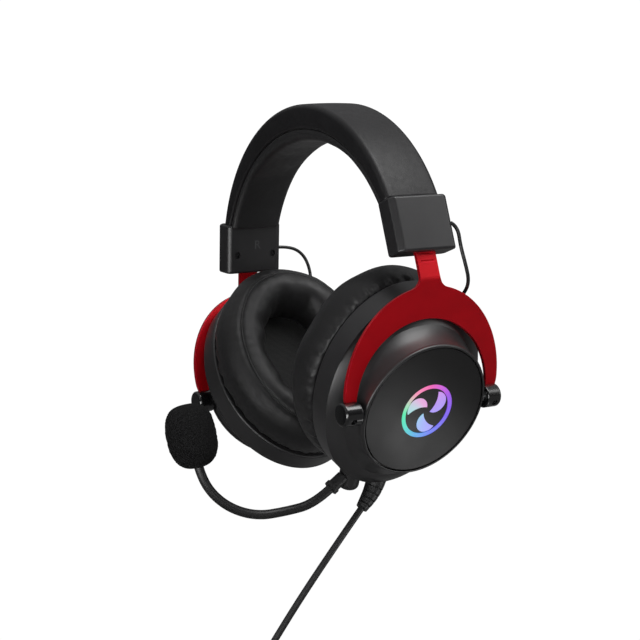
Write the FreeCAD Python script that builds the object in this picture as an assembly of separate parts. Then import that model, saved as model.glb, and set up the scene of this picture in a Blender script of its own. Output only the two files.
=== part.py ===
import FreeCAD, Part
import os, math
from FreeCAD import Vector as V

os.makedirs("parts", exist_ok=True)

# ---------------------------------------------------------------- dimensions
# millimetres. +Z up, the wearer faces -Y, the wearer's left is +X.
# The origin is the middle of the head pad's underside, where a head or a hook
# carries the headset.

# headband, arcs about the Y direction
BAND_R = 89.4            # outside of the cover
BAND_CZ = -70.7          # height of that arc's centre
BAND_W = 32.0            # width of the cover
SEAM_R, SEAM_CZ = 86.9, -81.1      # underside of the cover, top of the pad
PAD_R, PAD_CZ = 93.66, -93.66      # underside of the pad
PAD_W = 29.6
PAD_MIN = 3.6            # least thickness of the pad, near its ends
STRIP_R, STRIP_T, STRIP_W = 85.2, 1.2, 18.0   # spring steel

# slider housings
BOX_X, BOX_Z, LEAN = 85.0, -52.0, 11.2
BOX_H, BOX_W = 28.0, 35.0
BOX_OUT, BOX_IN = 6.0, -7.5        # outer and inner face from the leg's middle plane
SCR_W = 3.2              # the case screws, below the middle of the housing

# yoke
YOKE_T = 2.0
STEM_W = 11.8
STEM_TOP = 4.0           # above the middle of the slider housing, at rest
STEM_SHIFT = 0.5         # stem's middle plane from the leg's middle plane
SHOULDER = 27.5          # below the middle of the slider housing
ARM_Y, ARM_RISE, ARM_CZ = 46.3, 48.9, -131.0        # outer ellipse of the arch
ARM_YI, ARM_RISEI, ARM_CZI = 39.6, 37.7, -136.0     # inner ellipse
ARM_END = -138.9
ARM_TAPER = 26.0         # the arms narrow below the outer ellipse
CLICK = 4.0              # pitch of the slider; the right side is stored one click shorter

# pivots and cups
PIV_X, PIV_Z = 75.5, -141.0
TILT = 28.0              # the cup's axis points this far below level at rest
BLOCK_R = 6.0
BLOCK_FRONT = (-48.8, -39.0)        # the two blocks, along Y
BLOCK_BACK = (37.4, 46.1)
PIN_R, PIN_CLEAR = 2.5, 0.10
CUP_Y = -1.0             # the cup's middle, from the band's middle plane
CAP_V = -1.0             # the round cap's centre, below the cup's axis
LIP_R, LIP_A = 36.5, 4.3
CAP_R = 34.7
RIM_Y, RIM_V = 45.4, 55.0          # oval of the rear housing
RIM_FRONT, RIM_BACK = -16.0, -29.5
WALL = 2.2
CUSH_Y, CUSH_V = 46.4, 55.0        # oval of the ear cushion
CUSH_BACK, CUSH_FRONT = -31.0, -57.0
EAR_Y, EAR_V = 23.0, 32.0          # oval opening for the ear
DRIVER_R = 25.0

# cord
CORD_D = 3.5
FLOOR_Z = -300.0
JUMP_D = 1.9

MIRROR = (V(0, 0, 0), V(1, 0, 0))
nodes = {}


def add(name, shape):
    nodes[name] = shape


def solids(shape):
    return shape.Solids


def one(shape):
    """A boolean's result as one plain solid or a compound of its solids."""
    s = shape.Solids
    return s[0] if len(s) == 1 else Part.makeCompound(s)


def both(name, shape, moves=False):
    """The left piece and its mirror image. What hangs on the right slider is
    stored one click higher."""
    add("left_" + name, shape)
    m = shape.mirror(*MIRROR)
    if moves:
        a = math.radians(LEAN)
        m.translate(V(math.sin(a), 0, math.cos(a)) * CLICK)
    add("right_" + name, m)


def slab(x0, x1, y0, y1, z0, z1):
    return Part.makeBox(x1 - x0, y1 - y0, z1 - z0, V(x0, y0, z0))


def cyl(r, p, q):
    d = q - p
    return Part.makeCylinder(r, d.Length, p, d)


def cone(r0, r1, p, q):
    d = q - p
    return Part.makeCone(r0, r1, d.Length, p, d)


def disc_y(cx, cz, r, y0, y1):
    return Part.makeCylinder(r, y1 - y0, V(cx, y0, cz), V(0, 1, 0))


def fillet_some(shape, r, test):
    e = [k for k in shape.Edges if test(k)]
    if not e:
        return shape
    try:
        f = shape.makeFillet(r, e)
        if f.isValid() and f.Volume > 0:
            return one(f)
    except Exception as err:
        print("fillet skipped", err)
    return shape


def ellipse_face(a, ry, rv):
    """Oval in the plane across the cup's axis, at a along that axis."""
    c = V(a, 0, 0)
    if rv >= ry:
        e = Part.Ellipse(c + V(0, 0, rv), c + V(0, ry, 0), c)
    else:
        e = Part.Ellipse(c + V(0, ry, 0), c + V(0, 0, rv), c)
    return Part.Face(Part.Wire(e.toShape()))


def oval(a0, a1, ry, rv):
    lo, hi = min(a0, a1), max(a0, a1)
    return ellipse_face(lo, ry, rv).extrude(V(hi - lo, 0, 0))


def egg(a, ry, rt, rb, cv=0.0, n=36):
    """Closed smooth section with its own rise above and below the axis."""
    pts = []
    for k in range(n):
        t = 2 * math.pi * k / n
        s = math.sin(t)
        pts.append(V(a, ry * math.cos(t), cv + (rt if s > 0 else rb) * s))
    c = Part.BSplineCurve()
    c.interpolate(pts, PeriodicFlag=True)
    return Part.Wire(c.toShape())


def cup(shape):
    """From the cup's own frame (axis +X, up +Z, origin on the pivot line)."""
    s = shape.copy()
    s.rotate(V(0, 0, 0), V(0, 1, 0), TILT)
    s.translate(V(PIV_X, CUP_Y, PIV_Z))
    return s


def cup_point(a, y, v):
    t = math.radians(TILT)
    return V(PIV_X + a * math.cos(t) + v * math.sin(t), y + CUP_Y,
             PIV_Z - a * math.sin(t) + v * math.cos(t))


def cup_dir(a, y, v):
    t = math.radians(TILT)
    return V(a * math.cos(t) + v * math.sin(t), y, -a * math.sin(t) + v * math.cos(t))


# leg frame: origin in the middle of the left slider housing, u outward,
# w down along the leg
LT = math.radians(LEAN)
LEG_U = V(math.cos(LT), 0, math.sin(LT))
LEG_W = V(math.sin(LT), 0, -math.cos(LT))


def leg_point(u, y, w):
    return V(BOX_X, 0, BOX_Z) + LEG_U * u + V(0, y, 0) + LEG_W * w


def leg(shape):
    """From the leg's own frame (+X outward, -Z down the leg) to the left leg."""
    s = shape.copy()
    s.rotate(V(0, 0, 0), V(0, 1, 0), -LEAN)
    s.translate(V(BOX_X, 0, BOX_Z))
    return s


# ---------------------------------------------------------------- headband
def arch(r_out, cz_out, r_in, cz_in, w):
    a = disc_y(0, cz_out, r_out, -w / 2, w / 2)
    b = disc_y(0, cz_in, r_in, -w / 2 - 1, w / 2 + 1)
    return a.cut(b)


box_top = leg(slab(-40, 30, -60, 60, BOX_H / 2 - 1.5, 400))     # above the housing's top wall
above = box_top.common(box_top.mirror(*MIRROR))
cover = arch(BAND_R, BAND_CZ, SEAM_R, SEAM_CZ, BAND_W)
keep = leg(slab(-300, 60, -60, 60, BOX_H / 2 - 1.5, 400))
keep = keep.common(keep.mirror(*MIRROR))
cover = one(cover.common(keep))
cover = fillet_some(cover, 3.6, lambda e: hasattr(e.Curve, "Radius") and abs(e.Curve.Radius - BAND_R) < 0.05)
cover = fillet_some(cover, 1.2, lambda e: hasattr(e.Curve, "Radius") and abs(e.Curve.Radius - SEAM_R) < 0.05)

strip_end = leg(slab(-300, 60, -60, 60, -11.0, 400))
strip_end = strip_end.common(strip_end.mirror(*MIRROR))
strip = arch(STRIP_R, BAND_CZ, STRIP_R - STRIP_T, BAND_CZ, STRIP_W)
strip = one(strip.common(slab(-200, 200, -60, 60, BAND_CZ - 10, 60)).common(strip_end))
strip_holes = []
for s in (1, -1):
    for y in (-5.5, 5.5):
        p, q = leg_point(-8.0, y, 8.0), leg_point(2.0, y, 8.0)
        h = cyl(1.6, p, q)
        strip_holes.append(h if s > 0 else h.mirror(*MIRROR))
for h in strip_holes:
    strip = strip.cut(h)
strip = one(strip)
cover = one(cover.cut(strip))
add("steel_band", strip)
add("band_cover", cover)

hollow = disc_y(0, PAD_CZ, PAD_R, -60, 60).common(disc_y(0, SEAM_CZ, SEAM_R - PAD_MIN, -60, 60))
pad = disc_y(0, SEAM_CZ, SEAM_R, -PAD_W / 2, PAD_W / 2).cut(hollow)
pad_keep = leg(slab(-300, 60, -60, 60, BOX_H / 2 + 0.05, 400))
pad_keep = pad_keep.common(pad_keep.mirror(*MIRROR))
pad = one(pad.common(pad_keep).common(slab(-90, 90, -60, 60, -60, 60)))
pad = fillet_some(pad, 3.0, lambda e: hasattr(e.Curve, "Radius") and (abs(e.Curve.Radius - PAD_R) < 0.05 or abs(e.Curve.Radius - SEAM_R + PAD_MIN) < 0.05) and abs(e.BoundBox.YLength) < 0.1)
add("head_pad", pad)

# ---------------------------------------------------------------- slider housings
hb = BOX_H / 2
shell = slab(BOX_IN, BOX_OUT, -BOX_W / 2, BOX_W / 2, -hb, hb)
def chamfer_some(shape, c, test):
    e = [k for k in shape.Edges if test(k)]
    f = shape.makeChamfer(c, e)
    return one(f) if f.isValid() else shape


shell = chamfer_some(shell, 2.6, lambda e: e.BoundBox.ZLength > BOX_H - 1 and e.BoundBox.Center.x > 0)
shell = fillet_some(shell, 3.2, lambda e: e.BoundBox.ZLength > BOX_H - 1 and e.BoundBox.Center.x < BOX_IN + 0.1)
shell = fillet_some(shell, 1.6, lambda e: e.BoundBox.ZLength > BOX_H - 1 and e.BoundBox.Center.x > 0)
shell = fillet_some(shell, 1.3, lambda e: e.BoundBox.ZLength < 0.1)
cavity = slab(-5.6, 4.2, -14.0, 14.0, -hb + 1.8, hb - 1.5)
slot = slab(STEM_SHIFT - YOKE_T / 2 - 0.3, STEM_SHIFT + YOKE_T / 2 + 0.3, -STEM_W / 2 - 0.3, STEM_W / 2 + 0.3, -hb - 1, -hb + 3)
shell = leg(shell.cut(cavity).cut(slot))
# the mouth follows the cover's end, with a little room round it
mouth = arch(BAND_R + 0.25, BAND_CZ, SEAM_R - 0.25, SEAM_CZ, BAND_W + 0.5)
mouth = mouth.common(leg(slab(-30, 30, -60, 60, hb - 1.5, hb + 20)))
shell = one(shell.cut(mouth))
outer_half = one(shell.common(leg(slab(-0.8, 30, -60, 60, -40, 40))))
inner_half = one(shell.common(leg(slab(-30, -0.8, -60, 60, -40, 40))))
# screw towers and countersinks on the inner half, and the two posts that hold the strip
for y in (-11.6, 11.6):
    tower = cyl(2.8, leg_point(-5.6, y, SCR_W), leg_point(4.4, y, SCR_W))
    cb = cyl(2.0, leg_point(BOX_IN - 1, y, SCR_W), leg_point(-5.2, y, SCR_W))
    sh = cyl(1.0, leg_point(-6.0, y, SCR_W), leg_point(3.6, y, SCR_W))
    tin = tower.common(leg(slab(-30, -0.8, -60, 60, -40, 40)))
    tout = tower.common(leg(slab(-0.8, 30, -60, 60, -40, 40)))
    inner_half = one(inner_half.fuse(tin).cut(cb).cut(sh))
    outer_half = one(outer_half.fuse(tout).cut(sh))
for y in (-5.5, 5.5):
    post = cyl(1.6, leg_point(-5.6, y, 8.0), leg_point(-1.4, y, 8.0))
    inner_half = one(inner_half.fuse(post))
both("slider_outer", outer_half)
both("slider_inner", inner_half)

screws = []
for y in (-11.6, 11.6):
    head = cyl(1.9, leg_point(-6.4, y, SCR_W), leg_point(-5.2, y, SCR_W))
    shank = cyl(1.0, leg_point(-5.2, y, SCR_W), leg_point(3.4, y, SCR_W))
    cross = slab(-7.0, -5.9, y - 1.2, y + 1.2, -SCR_W - 0.2, -SCR_W + 0.2).fuse(slab(-7.0, -5.9, y - 0.2, y + 0.2, -SCR_W - 1.2, -SCR_W + 1.2))
    screws.append(one(head.fuse(shank).cut(leg(cross))))
add("slider_screws", Part.makeCompound(screws + [s.mirror(*MIRROR) for s in screws]))

# leaf that clicks into the stem's notches, in the outer half
leaf = slab(STEM_SHIFT + 1.35, STEM_SHIFT + 1.75, -5.0, 5.0, -8.5, 2.5)
foot = slab(STEM_SHIFT + 1.35, 4.2, -5.0, 5.0, -9.2, -8.5)
foot2 = slab(STEM_SHIFT + 1.35, 4.2, -5.0, 5.0, 2.5, 3.2)
leafs = leg(one(leaf.fuse(foot).fuse(foot2)))
add("detent_leaves", Part.makeCompound([leafs, leafs.mirror(*MIRROR)]))

# ---------------------------------------------------------------- yokes
# side view of the bent plate: stem along the leg, then the arch's own lean
sh_p = leg_point(STEM_SHIFT, 0, SHOULDER)
top_p = leg_point(STEM_SHIFT, 0, -STEM_TOP)
arm_dir = V(PIV_X - 0.0, 0, -136.0) - V(sh_p.x, 0, sh_p.z)
arm_dir.normalize()
end_p = V(sh_p.x, 0, sh_p.z) + arm_dir * ((sh_p.z - ARM_END) / -arm_dir.z)


def side_wire(off):
    """The plate's face at a distance off, outward, from its middle plane."""
    d1 = LEG_W
    n1 = LEG_U
    d2 = arm_dir
    n2 = V(-d2.z, 0, d2.x)
    a = top_p + n1 * off
    b = end_p + n2 * off
    # corner of the two offset lines
    m = n1 + n2
    m = m * (off / (m.dot(n1)))
    k = sh_p + m
    return a, k, b


def bent(t):
    ao, ko, bo = side_wire(t / 2)
    ai, ki, bi = side_wire(-t / 2)
    w = Part.makePolygon([ao, ko, bo, bi, ki, ai, ao])
    f = Part.Face(w)
    f.translate(V(0, -60, 0))
    return f.extrude(V(0, 120, 0))


plate = bent(YOKE_T)
plate = fillet_some(plate, 4.0, lambda e: e.BoundBox.YLength > 100 and abs(e.BoundBox.Center.z - sh_p.z) < 3 and e.BoundBox.Center.x < sh_p.x)
plate = fillet_some(plate, 6.0, lambda e: e.BoundBox.YLength > 100 and abs(e.BoundBox.Center.z - sh_p.z) < 3 and e.BoundBox.Center.x > sh_p.x)


def yz_ellipse(cz, ry, rz, x0, x1):
    c = V(x0, 0, cz)
    if rz >= ry:
        e = Part.Ellipse(c + V(0, 0, rz), c + V(0, ry, 0), c)
    else:
        e = Part.Ellipse(c + V(0, ry, 0), c + V(0, 0, rz), c)
    return Part.Face(Part.Wire(e.toShape())).extrude(V(x1 - x0, 0, 0))


xa, xb = 40.0, 120.0
upper = yz_ellipse(ARM_CZ, ARM_Y, ARM_RISE, xa, xb).common(slab(xa, xb, -60, 60, ARM_CZ, 60))
lower = yz_ellipse(ARM_CZ, ARM_Y, ARM_TAPER, xa, xb).common(slab(xa, xb, -60, 60, ARM_END - 5, ARM_CZ))
stem_cut = slab(xa, xb, -STEM_W / 2, STEM_W / 2, -90, -20)
outline = upper.fuse(lower).fuse(stem_cut).removeSplitter()
outline = fillet_some(one(outline), 6.0, lambda e: e.BoundBox.XLength > 70 and abs(abs(e.BoundBox.Center.y) - STEM_W / 2) < 0.3 and -84 < e.BoundBox.Center.z < -80)
hole = yz_ellipse(ARM_CZI, ARM_YI, ARM_RISEI, xa - 1, xb + 1).common(slab(xa - 1, xb + 1, -60, 60, ARM_CZI, 60))
hole2 = slab(xa - 1, xb + 1, -ARM_YI, ARM_YI, ARM_END - 10, ARM_CZI)
outline = outline.cut(hole.fuse(hole2))
yoke = one(plate.common(outline))
# notches for the detent, on the outward face of the stem
for k in range(6):
    w = -STEM_TOP + 2.6 + 4.0 * k
    yoke = yoke.cut(cyl(0.6, leg_point(STEM_SHIFT + 1.15, -4.0, w), leg_point(STEM_SHIFT + 1.15, 4.0, w)))
yoke = one(yoke)
yoke_whole = yoke
# bores for the pivot pins
for s, (y0, y1) in ((-1, BLOCK_FRONT), (1, BLOCK_BACK)):
    outer, inner = (y0, y1) if s < 0 else (y1, y0)
    yoke = yoke.cut(cyl(PIN_R + PIN_CLEAR, V(PIV_X, inner - s, PIV_Z), V(PIV_X, outer - s * 1.3, PIV_Z)))
yoke = one(yoke)
both("yoke", yoke, True)

blocks, bscrews = [], []
SET_A = math.radians(-40.0)          # the set screw points out and down
for s, (y0, y1) in ((-1, BLOCK_FRONT), (1, BLOCK_BACK)):
    outer, inner = (y0, y1) if s < 0 else (y1, y0)
    b = disc_y(PIV_X, PIV_Z, BLOCK_R, y0, y1)
    b = fillet_some(b, 1.5, lambda e: abs(e.BoundBox.Center.y - outer) < 0.01 and e.BoundBox.XLength > 5)
    b = fillet_some(b, 0.6, lambda e: abs(e.BoundBox.Center.y - inner) < 0.01 and e.BoundBox.XLength > 5)
    b = b.cut(cyl(PIN_R + PIN_CLEAR, V(PIV_X, inner - s, PIV_Z), V(PIV_X, outer - s * 1.3, PIV_Z)))
    b = b.cut(yoke_whole)
    ys = (y0 + y1) / 2 + s * 0.2
    c = V(PIV_X, ys, PIV_Z)
    d = V(math.cos(SET_A), 0, math.sin(SET_A))
    b = b.cut(cyl(1.65, c + d * 4.1, c + d * 9)).cut(cyl(1.0, c, c + d * 5))
    blocks.append(one(b))
    g = cyl(1.5, c + d * 4.1, c + d * 5.0).fuse(cyl(1.0, c + d * 3.1, c + d * 4.1)).fuse(cyl(0.6, c + d * 2.15, c + d * 3.1))
    hexa = cyl(0.7, c + d * 4.4, c + d * 6)
    bscrews.append(one(g.cut(hexa)))
both("pivot_blocks", Part.makeCompound(blocks), True)
both("block_screws", Part.makeCompound(bscrews), True)

# ---------------------------------------------------------------- cups
# sections of the front housing: position along the axis, half width, rise
# above, drop below. The neck ends in a crease, then a rounded ledge runs out
# to the rear housing.
NECK = ((2.6, 36.15, 36.15, 36.15, CAP_V), (-1.0, 36.0, 35.6, 38.0, 0), (-5.5, 36.5, 36.8, 42.0, 0), (-10.0, 38.0, 39.6, 46.6, 0))
LEDGE = ((-10.0, 38.0, 39.6, 46.6, 0), (-11.6, 41.2, 41.4, 50.2, 0), (-13.8, 44.0, 44.8, 53.2, 0), (-16.0, 45.4, 55.0, 55.0, 0))


def loft(sect, shrink):
    return Part.makeLoft([egg(a, ry - shrink, rt - shrink, rb - shrink, cv) for a, ry, rt, rb, cv in sect], True, False)


def funnel(shrink):
    return one(loft(NECK, shrink).fuse(loft(LEDGE, shrink)))


def round_x(r, a0, a1):
    return Part.makeCylinder(r, a1 - a0, V(a0, 0, CAP_V), V(1, 0, 0))


neck_wall = loft(NECK, 0.0).cut(loft(NECK, WALL))
ledge_in = Part.makeLoft([egg(a, ry - WALL, rt - WALL, rb - WALL, cv) for a, ry, rt, rb, cv in LEDGE]
                         + [egg(-18.2, RIM_Y - 2.0, RIM_V - 2.0, RIM_V - 2.0)], True, False)
ledge_wall = loft(LEDGE, 0.0).cut(ledge_in)
neck = one(neck_wall.fuse(ledge_wall))
lip = round_x(LIP_R, 2.2, LIP_A)
lip = fillet_some(lip, 1.1, lambda e: abs(e.BoundBox.Center.x - LIP_A) < 0.01)
neck = one(neck.fuse(lip))
neck = neck.cut(round_x(CAP_R + 0.5, 2.1, 12))
neck = neck.cut(round_x(CAP_R - 2.2, -1.0, 9.0))
for s in (-1, 1):
    boss = cyl(4.6, V(0, s * 30.5 - CUP_Y, 0), V(0, s * 36.6 - CUP_Y, 0)).cut(Part.makeCylinder(CAP_R - 6.5, 20, V(-10, 0, 0), V(1, 0, 0)))
    boss = boss.common(slab(-10, 1.8, -60, 60, -20, 20))
    boss = boss.common(loft(NECK, 0.4))
    neck = one(neck.fuse(boss))
    neck = neck.cut(cyl(PIN_R, V(0, s * 31.5 - CUP_Y, 0), V(0, s * 60 - CUP_Y, 0)).cut(slab(1.8, 5, -35.6, 35.6, -5, 5)))
front_housing = one(neck)

rim = oval(RIM_BACK, RIM_FRONT, RIM_Y, RIM_V)
rim = fillet_some(rim, 1.2, lambda e: e.BoundBox.XLength < 0.1 and abs(e.BoundBox.Center.x - RIM_BACK) < 0.1)
rim = rim.cut(oval(RIM_BACK + 2.6, RIM_FRONT + 1, RIM_Y - WALL, RIM_V - WALL))
rim = rim.cut(oval(RIM_BACK - 1, RIM_BACK + 3.0, RIM_Y - 4.6, RIM_V - 4.6))
rear_housing = one(rim)

pins = []
for s, (y0, y1) in ((-1, BLOCK_FRONT), (1, BLOCK_BACK)):
    tip = (y0 if s < 0 else y1) - s * 1.8
    ys = (y0 + y1) / 2 + s * 0.2
    p = cyl(PIN_R, V(0, s * 31.5 - CUP_Y, 0), V(0, tip - CUP_Y, 0))
    groove = cyl(PIN_R + 1, V(0, ys - 0.8 - CUP_Y, 0), V(0, ys + 0.8 - CUP_Y, 0)).cut(cyl(1.85, V(0, ys - 2 - CUP_Y, 0), V(0, ys + 2 - CUP_Y, 0)))
    p = p.cut(groove).cut(slab(1.8, 5, -35.6, 35.6, -5, 5))
    pins.append(one(p))

cap = round_x(CAP_R, 2.1, LIP_A - 0.4)
cap = fillet_some(one(cap), 0.5, lambda e: abs(e.BoundBox.Center.x - (LIP_A - 0.4)) < 0.3 and e.BoundBox.YLength > 60)

# light guide: a ring with three curved blades, in a recess of the cap
RING_O, RING_I = 15.0, 12.7
EMB_Y, EMB_V = 1.7, -1.8


def blade(k, a):
    """One curved blade, as a planar face across the axis at a."""
    t = 100 + 120 * k

    def pol(r, da):
        w = math.radians(t + da)
        return V(a, EMB_Y + r * math.cos(w), EMB_V + r * math.sin(w))
    p, q = pol(2.2, 0), pol(11.3, 84)
    e1 = Part.Arc(p, pol(9.6, 26), q).toShape()
    e2 = Part.Arc(q, pol(6.6, 62), p).toShape()
    return Part.Face(Part.Wire([e1, e2]))


GA0, GA1, GA2, GA3 = 2.0, 2.6, 3.1, LIP_A - 0.55
emb = V(0, EMB_Y, EMB_V)


def emb_disc(r, a0, a1):
    return Part.makeCylinder(r, a1 - a0, V(a0, EMB_Y, EMB_V), V(1, 0, 0))


guide = emb_disc(RING_O + 1.0, GA0, GA1)
guide = guide.fuse(emb_disc(RING_O, GA2, GA3).cut(emb_disc(RING_I, GA2 - 1, GA3 + 1)))
for k in range(6):
    t = math.radians(60 * k)
    r = (RING_O + RING_I) / 2
    guide = guide.fuse(Part.makeCylinder(0.8, GA2 - GA1 + 0.2, V(GA1 - 0.1, EMB_Y + r * math.cos(t), EMB_V + r * math.sin(t)), V(1, 0, 0)))
for k in range(3):
    guide = guide.fuse(blade(k, GA1 - 0.1).extrude(V(GA3 - GA1 + 0.1, 0, 0)))
guide = one(guide.removeSplitter())
cap = cap.cut(emb_disc(RING_O + 1.0, 1.0, GA1))
cap = one(cap.cut(guide))
# the field between the lit shapes lies a little below the cap's face
cap = one(cap.cut(emb_disc(RING_O, GA3 - 0.35, LIP_A)))

led = Part.makeCylinder(28.0, 1.6, V(-3.2, 0, 0), V(1, 0, 0))
for k in range(6):
    t = math.radians(30 + 60 * k)
    y, z = 12.0 * math.cos(t), 12.0 * math.sin(t)
    led = led.fuse(slab(-1.6, -0.5, y - 1.7, y + 1.7, z - 1.7, z + 1.7))
led = one(led)
# three posts carry the board from the cap's back
posts = []
for k in range(3):
    t = math.radians(90 + 120 * k)
    y, z = 24.0 * math.cos(t), 24.0 * math.sin(t)
    posts.append(Part.makeCylinder(2.0, 3.8, V(-1.6, y, z), V(1, 0, 0)))
for p in posts:
    cap = cap.fuse(p)
cap = one(cap)

baffle = oval(RIM_BACK + 0.1, RIM_BACK + 2.5, RIM_Y - 4.7, RIM_V - 4.7)
baffle = baffle.fuse(oval(RIM_BACK - 1.5, RIM_BACK + 0.1, RIM_Y - 6.0, RIM_V - 6.0))
baffle = one(baffle.cut(Part.makeCylinder(DRIVER_R + 1.6, 20, V(RIM_BACK - 5, 0, 0), V(1, 0, 0))))
cscrews = []
for k in range(4):
    t = math.radians(45 + 90 * k)
    y, z = 36.2 * math.cos(t) * 0.98, 43.0 * math.sin(t) * 0.98
    post = Part.makeCylinder(2.6, 6.0, V(RIM_BACK + 2.5, y, z), V(1, 0, 0))
    link = slab(RIM_BACK + 3.4, RIM_BACK + 8.5, min(y, 1.5 * y), max(y, 1.5 * y), z - 0.9, z + 0.9)
    link = link.common(oval(RIM_BACK, RIM_FRONT, RIM_Y - WALL, RIM_V - WALL))
    bore = Part.makeCylinder(1.0, 7.6, V(RIM_BACK, y, z), V(1, 0, 0))
    rear_housing = one(rear_housing.fuse(post).fuse(link).cut(bore))
    head = Part.makeCylinder(1.9, 1.3, V(RIM_BACK - 0.4, y, z), V(1, 0, 0))
    shank = Part.makeCylinder(1.0, 6.0, V(RIM_BACK + 0.9, y, z), V(1, 0, 0))
    baffle = baffle.cut(Part.makeCylinder(1.9, 3.0, V(RIM_BACK - 2.1, y, z), V(1, 0, 0))).cut(Part.makeCylinder(1.0, 8.0, V(RIM_BACK, y, z), V(1, 0, 0)))
    cscrews.append(one(head.fuse(shank)))
baffle = one(baffle)

# driver: frame with magnet behind, diaphragm in front
dr = Part.makeCylinder(DRIVER_R + 1.6, 1.4, V(RIM_BACK + 0.6, 0, 0), V(1, 0, 0))
dr = dr.fuse(Part.makeCylinder(DRIVER_R - 0.6, 4.0, V(RIM_BACK + 2.0, 0, 0), V(1, 0, 0)))
dr = dr.cut(Part.makeCylinder(DRIVER_R - 2.0, 4.6, V(RIM_BACK - 0.2, 0, 0), V(1, 0, 0)))
for k in range(6):
    t = math.radians(60 * k)
    dr = dr.cut(Part.makeCylinder(2.6, 5.0, V(RIM_BACK + 3.0, 17.0 * math.cos(t), 17.0 * math.sin(t)), V(1, 0, 0)))
frame = one(dr)
magnet = one(Part.makeCylinder(11.0, 3.6, V(RIM_BACK + 6.0, 0, 0), V(1, 0, 0)))
dia = Part.makeCylinder(DRIVER_R - 2.0, 0.5, V(RIM_BACK + 1.2, 0, 0), V(1, 0, 0))
dome = Part.makeSphere(13.0, V(RIM_BACK + 12.4, 0, 0)).cut(Part.makeSphere(12.5, V(RIM_BACK + 12.4, 0, 0)))
dome = dome.common(Part.makeCylinder(7.2, 1.4, V(RIM_BACK - 0.2, 0, 0), V(1, 0, 0)))
dia = one(dia)
grille = oval(RIM_BACK - 2.5, RIM_BACK - 1.5, 27.5, 36.5)
grille = one(grille)

cush = oval(CUSH_FRONT, CUSH_BACK, CUSH_Y, CUSH_V)
cush = fillet_some(cush, 8.5, lambda e: abs(e.BoundBox.Center.x - CUSH_FRONT) < 0.1)
cush = fillet_some(cush, 4.0, lambda e: abs(e.BoundBox.Center.x - CUSH_BACK) < 0.1)
cush = cush.cut(oval(CUSH_FRONT - 1, CUSH_BACK + 1, EAR_Y, EAR_V))
cush = fillet_some(one(cush), 6.0, lambda e: abs(e.BoundBox.Center.x - CUSH_FRONT) < 0.1 and e.BoundBox.YLength < 2 * EAR_Y + 1)
# the cushion's skirt grips the baffle's edge
collar = oval(RIM_BACK - 1.5, RIM_BACK - 0.2, RIM_Y - 2.0, RIM_V - 2.0).cut(oval(RIM_BACK - 2, RIM_BACK, RIM_Y - 6.0, RIM_V - 6.0))
add_back = one(cush.fuse(collar.common(oval(RIM_BACK - 1.6, RIM_BACK - 0.2, RIM_Y - 2.0, RIM_V - 2.0))))
cushion = add_back.cut(grille)
cushion = one(cushion)

for name, shp in (("front_housing", front_housing), ("rear_housing", rear_housing), ("cap", cap),
                  ("light_guide", guide), ("led_board", led), ("baffle", baffle), ("driver_frame", frame),
                  ("driver_magnet", magnet), ("diaphragm", dia), ("driver_cloth", grille), ("ear_cushion", cushion),
                  ("pivot_pins", Part.makeCompound(pins)), ("cup_screws", Part.makeCompound(cscrews))):
    both(name, cup(shp), True)

# ---------------------------------------------------------------- left cup's own pieces
# a barrel under the rear housing that the microphone plugs into
BAR_A, BAR_Y, BAR_R = -22.3, -17.2, 5.6
bar_v = RIM_V * math.sqrt(1 - (BAR_Y / RIM_Y) ** 2)     # the housing's edge there
BAR_TOP, BAR_END = -bar_v + 4.2, -bar_v - 8.1
hole = cyl(2.6, V(BAR_A, BAR_Y, 0), V(BAR_A, BAR_Y, -70))
seat = cyl(BAR_R + 0.3, V(BAR_A, BAR_Y, BAR_TOP + 0.3), V(BAR_A, BAR_Y, -70))
lh = nodes["left_rear_housing"]
# local pad that the barrel turns in
pad_l = cyl(BAR_R + 1.6, V(BAR_A, BAR_Y, BAR_TOP + 1.8), V(BAR_A, BAR_Y, -bar_v - 1.5)).common(oval(-26.9, RIM_FRONT, RIM_Y, RIM_V))
lh = lh.fuse(cup(pad_l)).cut(cup(seat)).cut(cup(hole))
nodes["left_baffle"] = one(nodes["left_baffle"].cut(cup(cyl(BAR_R + 0.5, V(BAR_A, BAR_Y, BAR_TOP + 0.6), V(BAR_A, BAR_Y, -70)))))
neckbar = cyl(2.5, V(BAR_A, BAR_Y, BAR_TOP + 2.6), V(BAR_A, BAR_Y, BAR_TOP - 0.2))
flange = cyl(3.6, V(BAR_A, BAR_Y, BAR_TOP + 3.4), V(BAR_A, BAR_Y, BAR_TOP + 2.0))
body = cyl(BAR_R, V(BAR_A, BAR_Y, BAR_TOP), V(BAR_A, BAR_Y, BAR_END))
body = fillet_some(body, 2.6, lambda e: abs(e.BoundBox.Center.z - BAR_END) < 0.05)
barrel = cup(one(body.fuse(neckbar).fuse(flange)))

# microphone plug axis, through the barrel's side
MIC_P = cup_point(BAR_A, BAR_Y, -bar_v + 2.4)
MIC_D = V(-0.139, -0.817, -0.565)
MIC_D.normalize()
barrel = one(barrel.cut(cyl(1.8, MIC_P + MIC_D * 1.2, MIC_P + MIC_D * 20)))
add("mic_barrel", barrel)

BOOT_A, BOOT_Y = -19.0, -4.0

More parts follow.
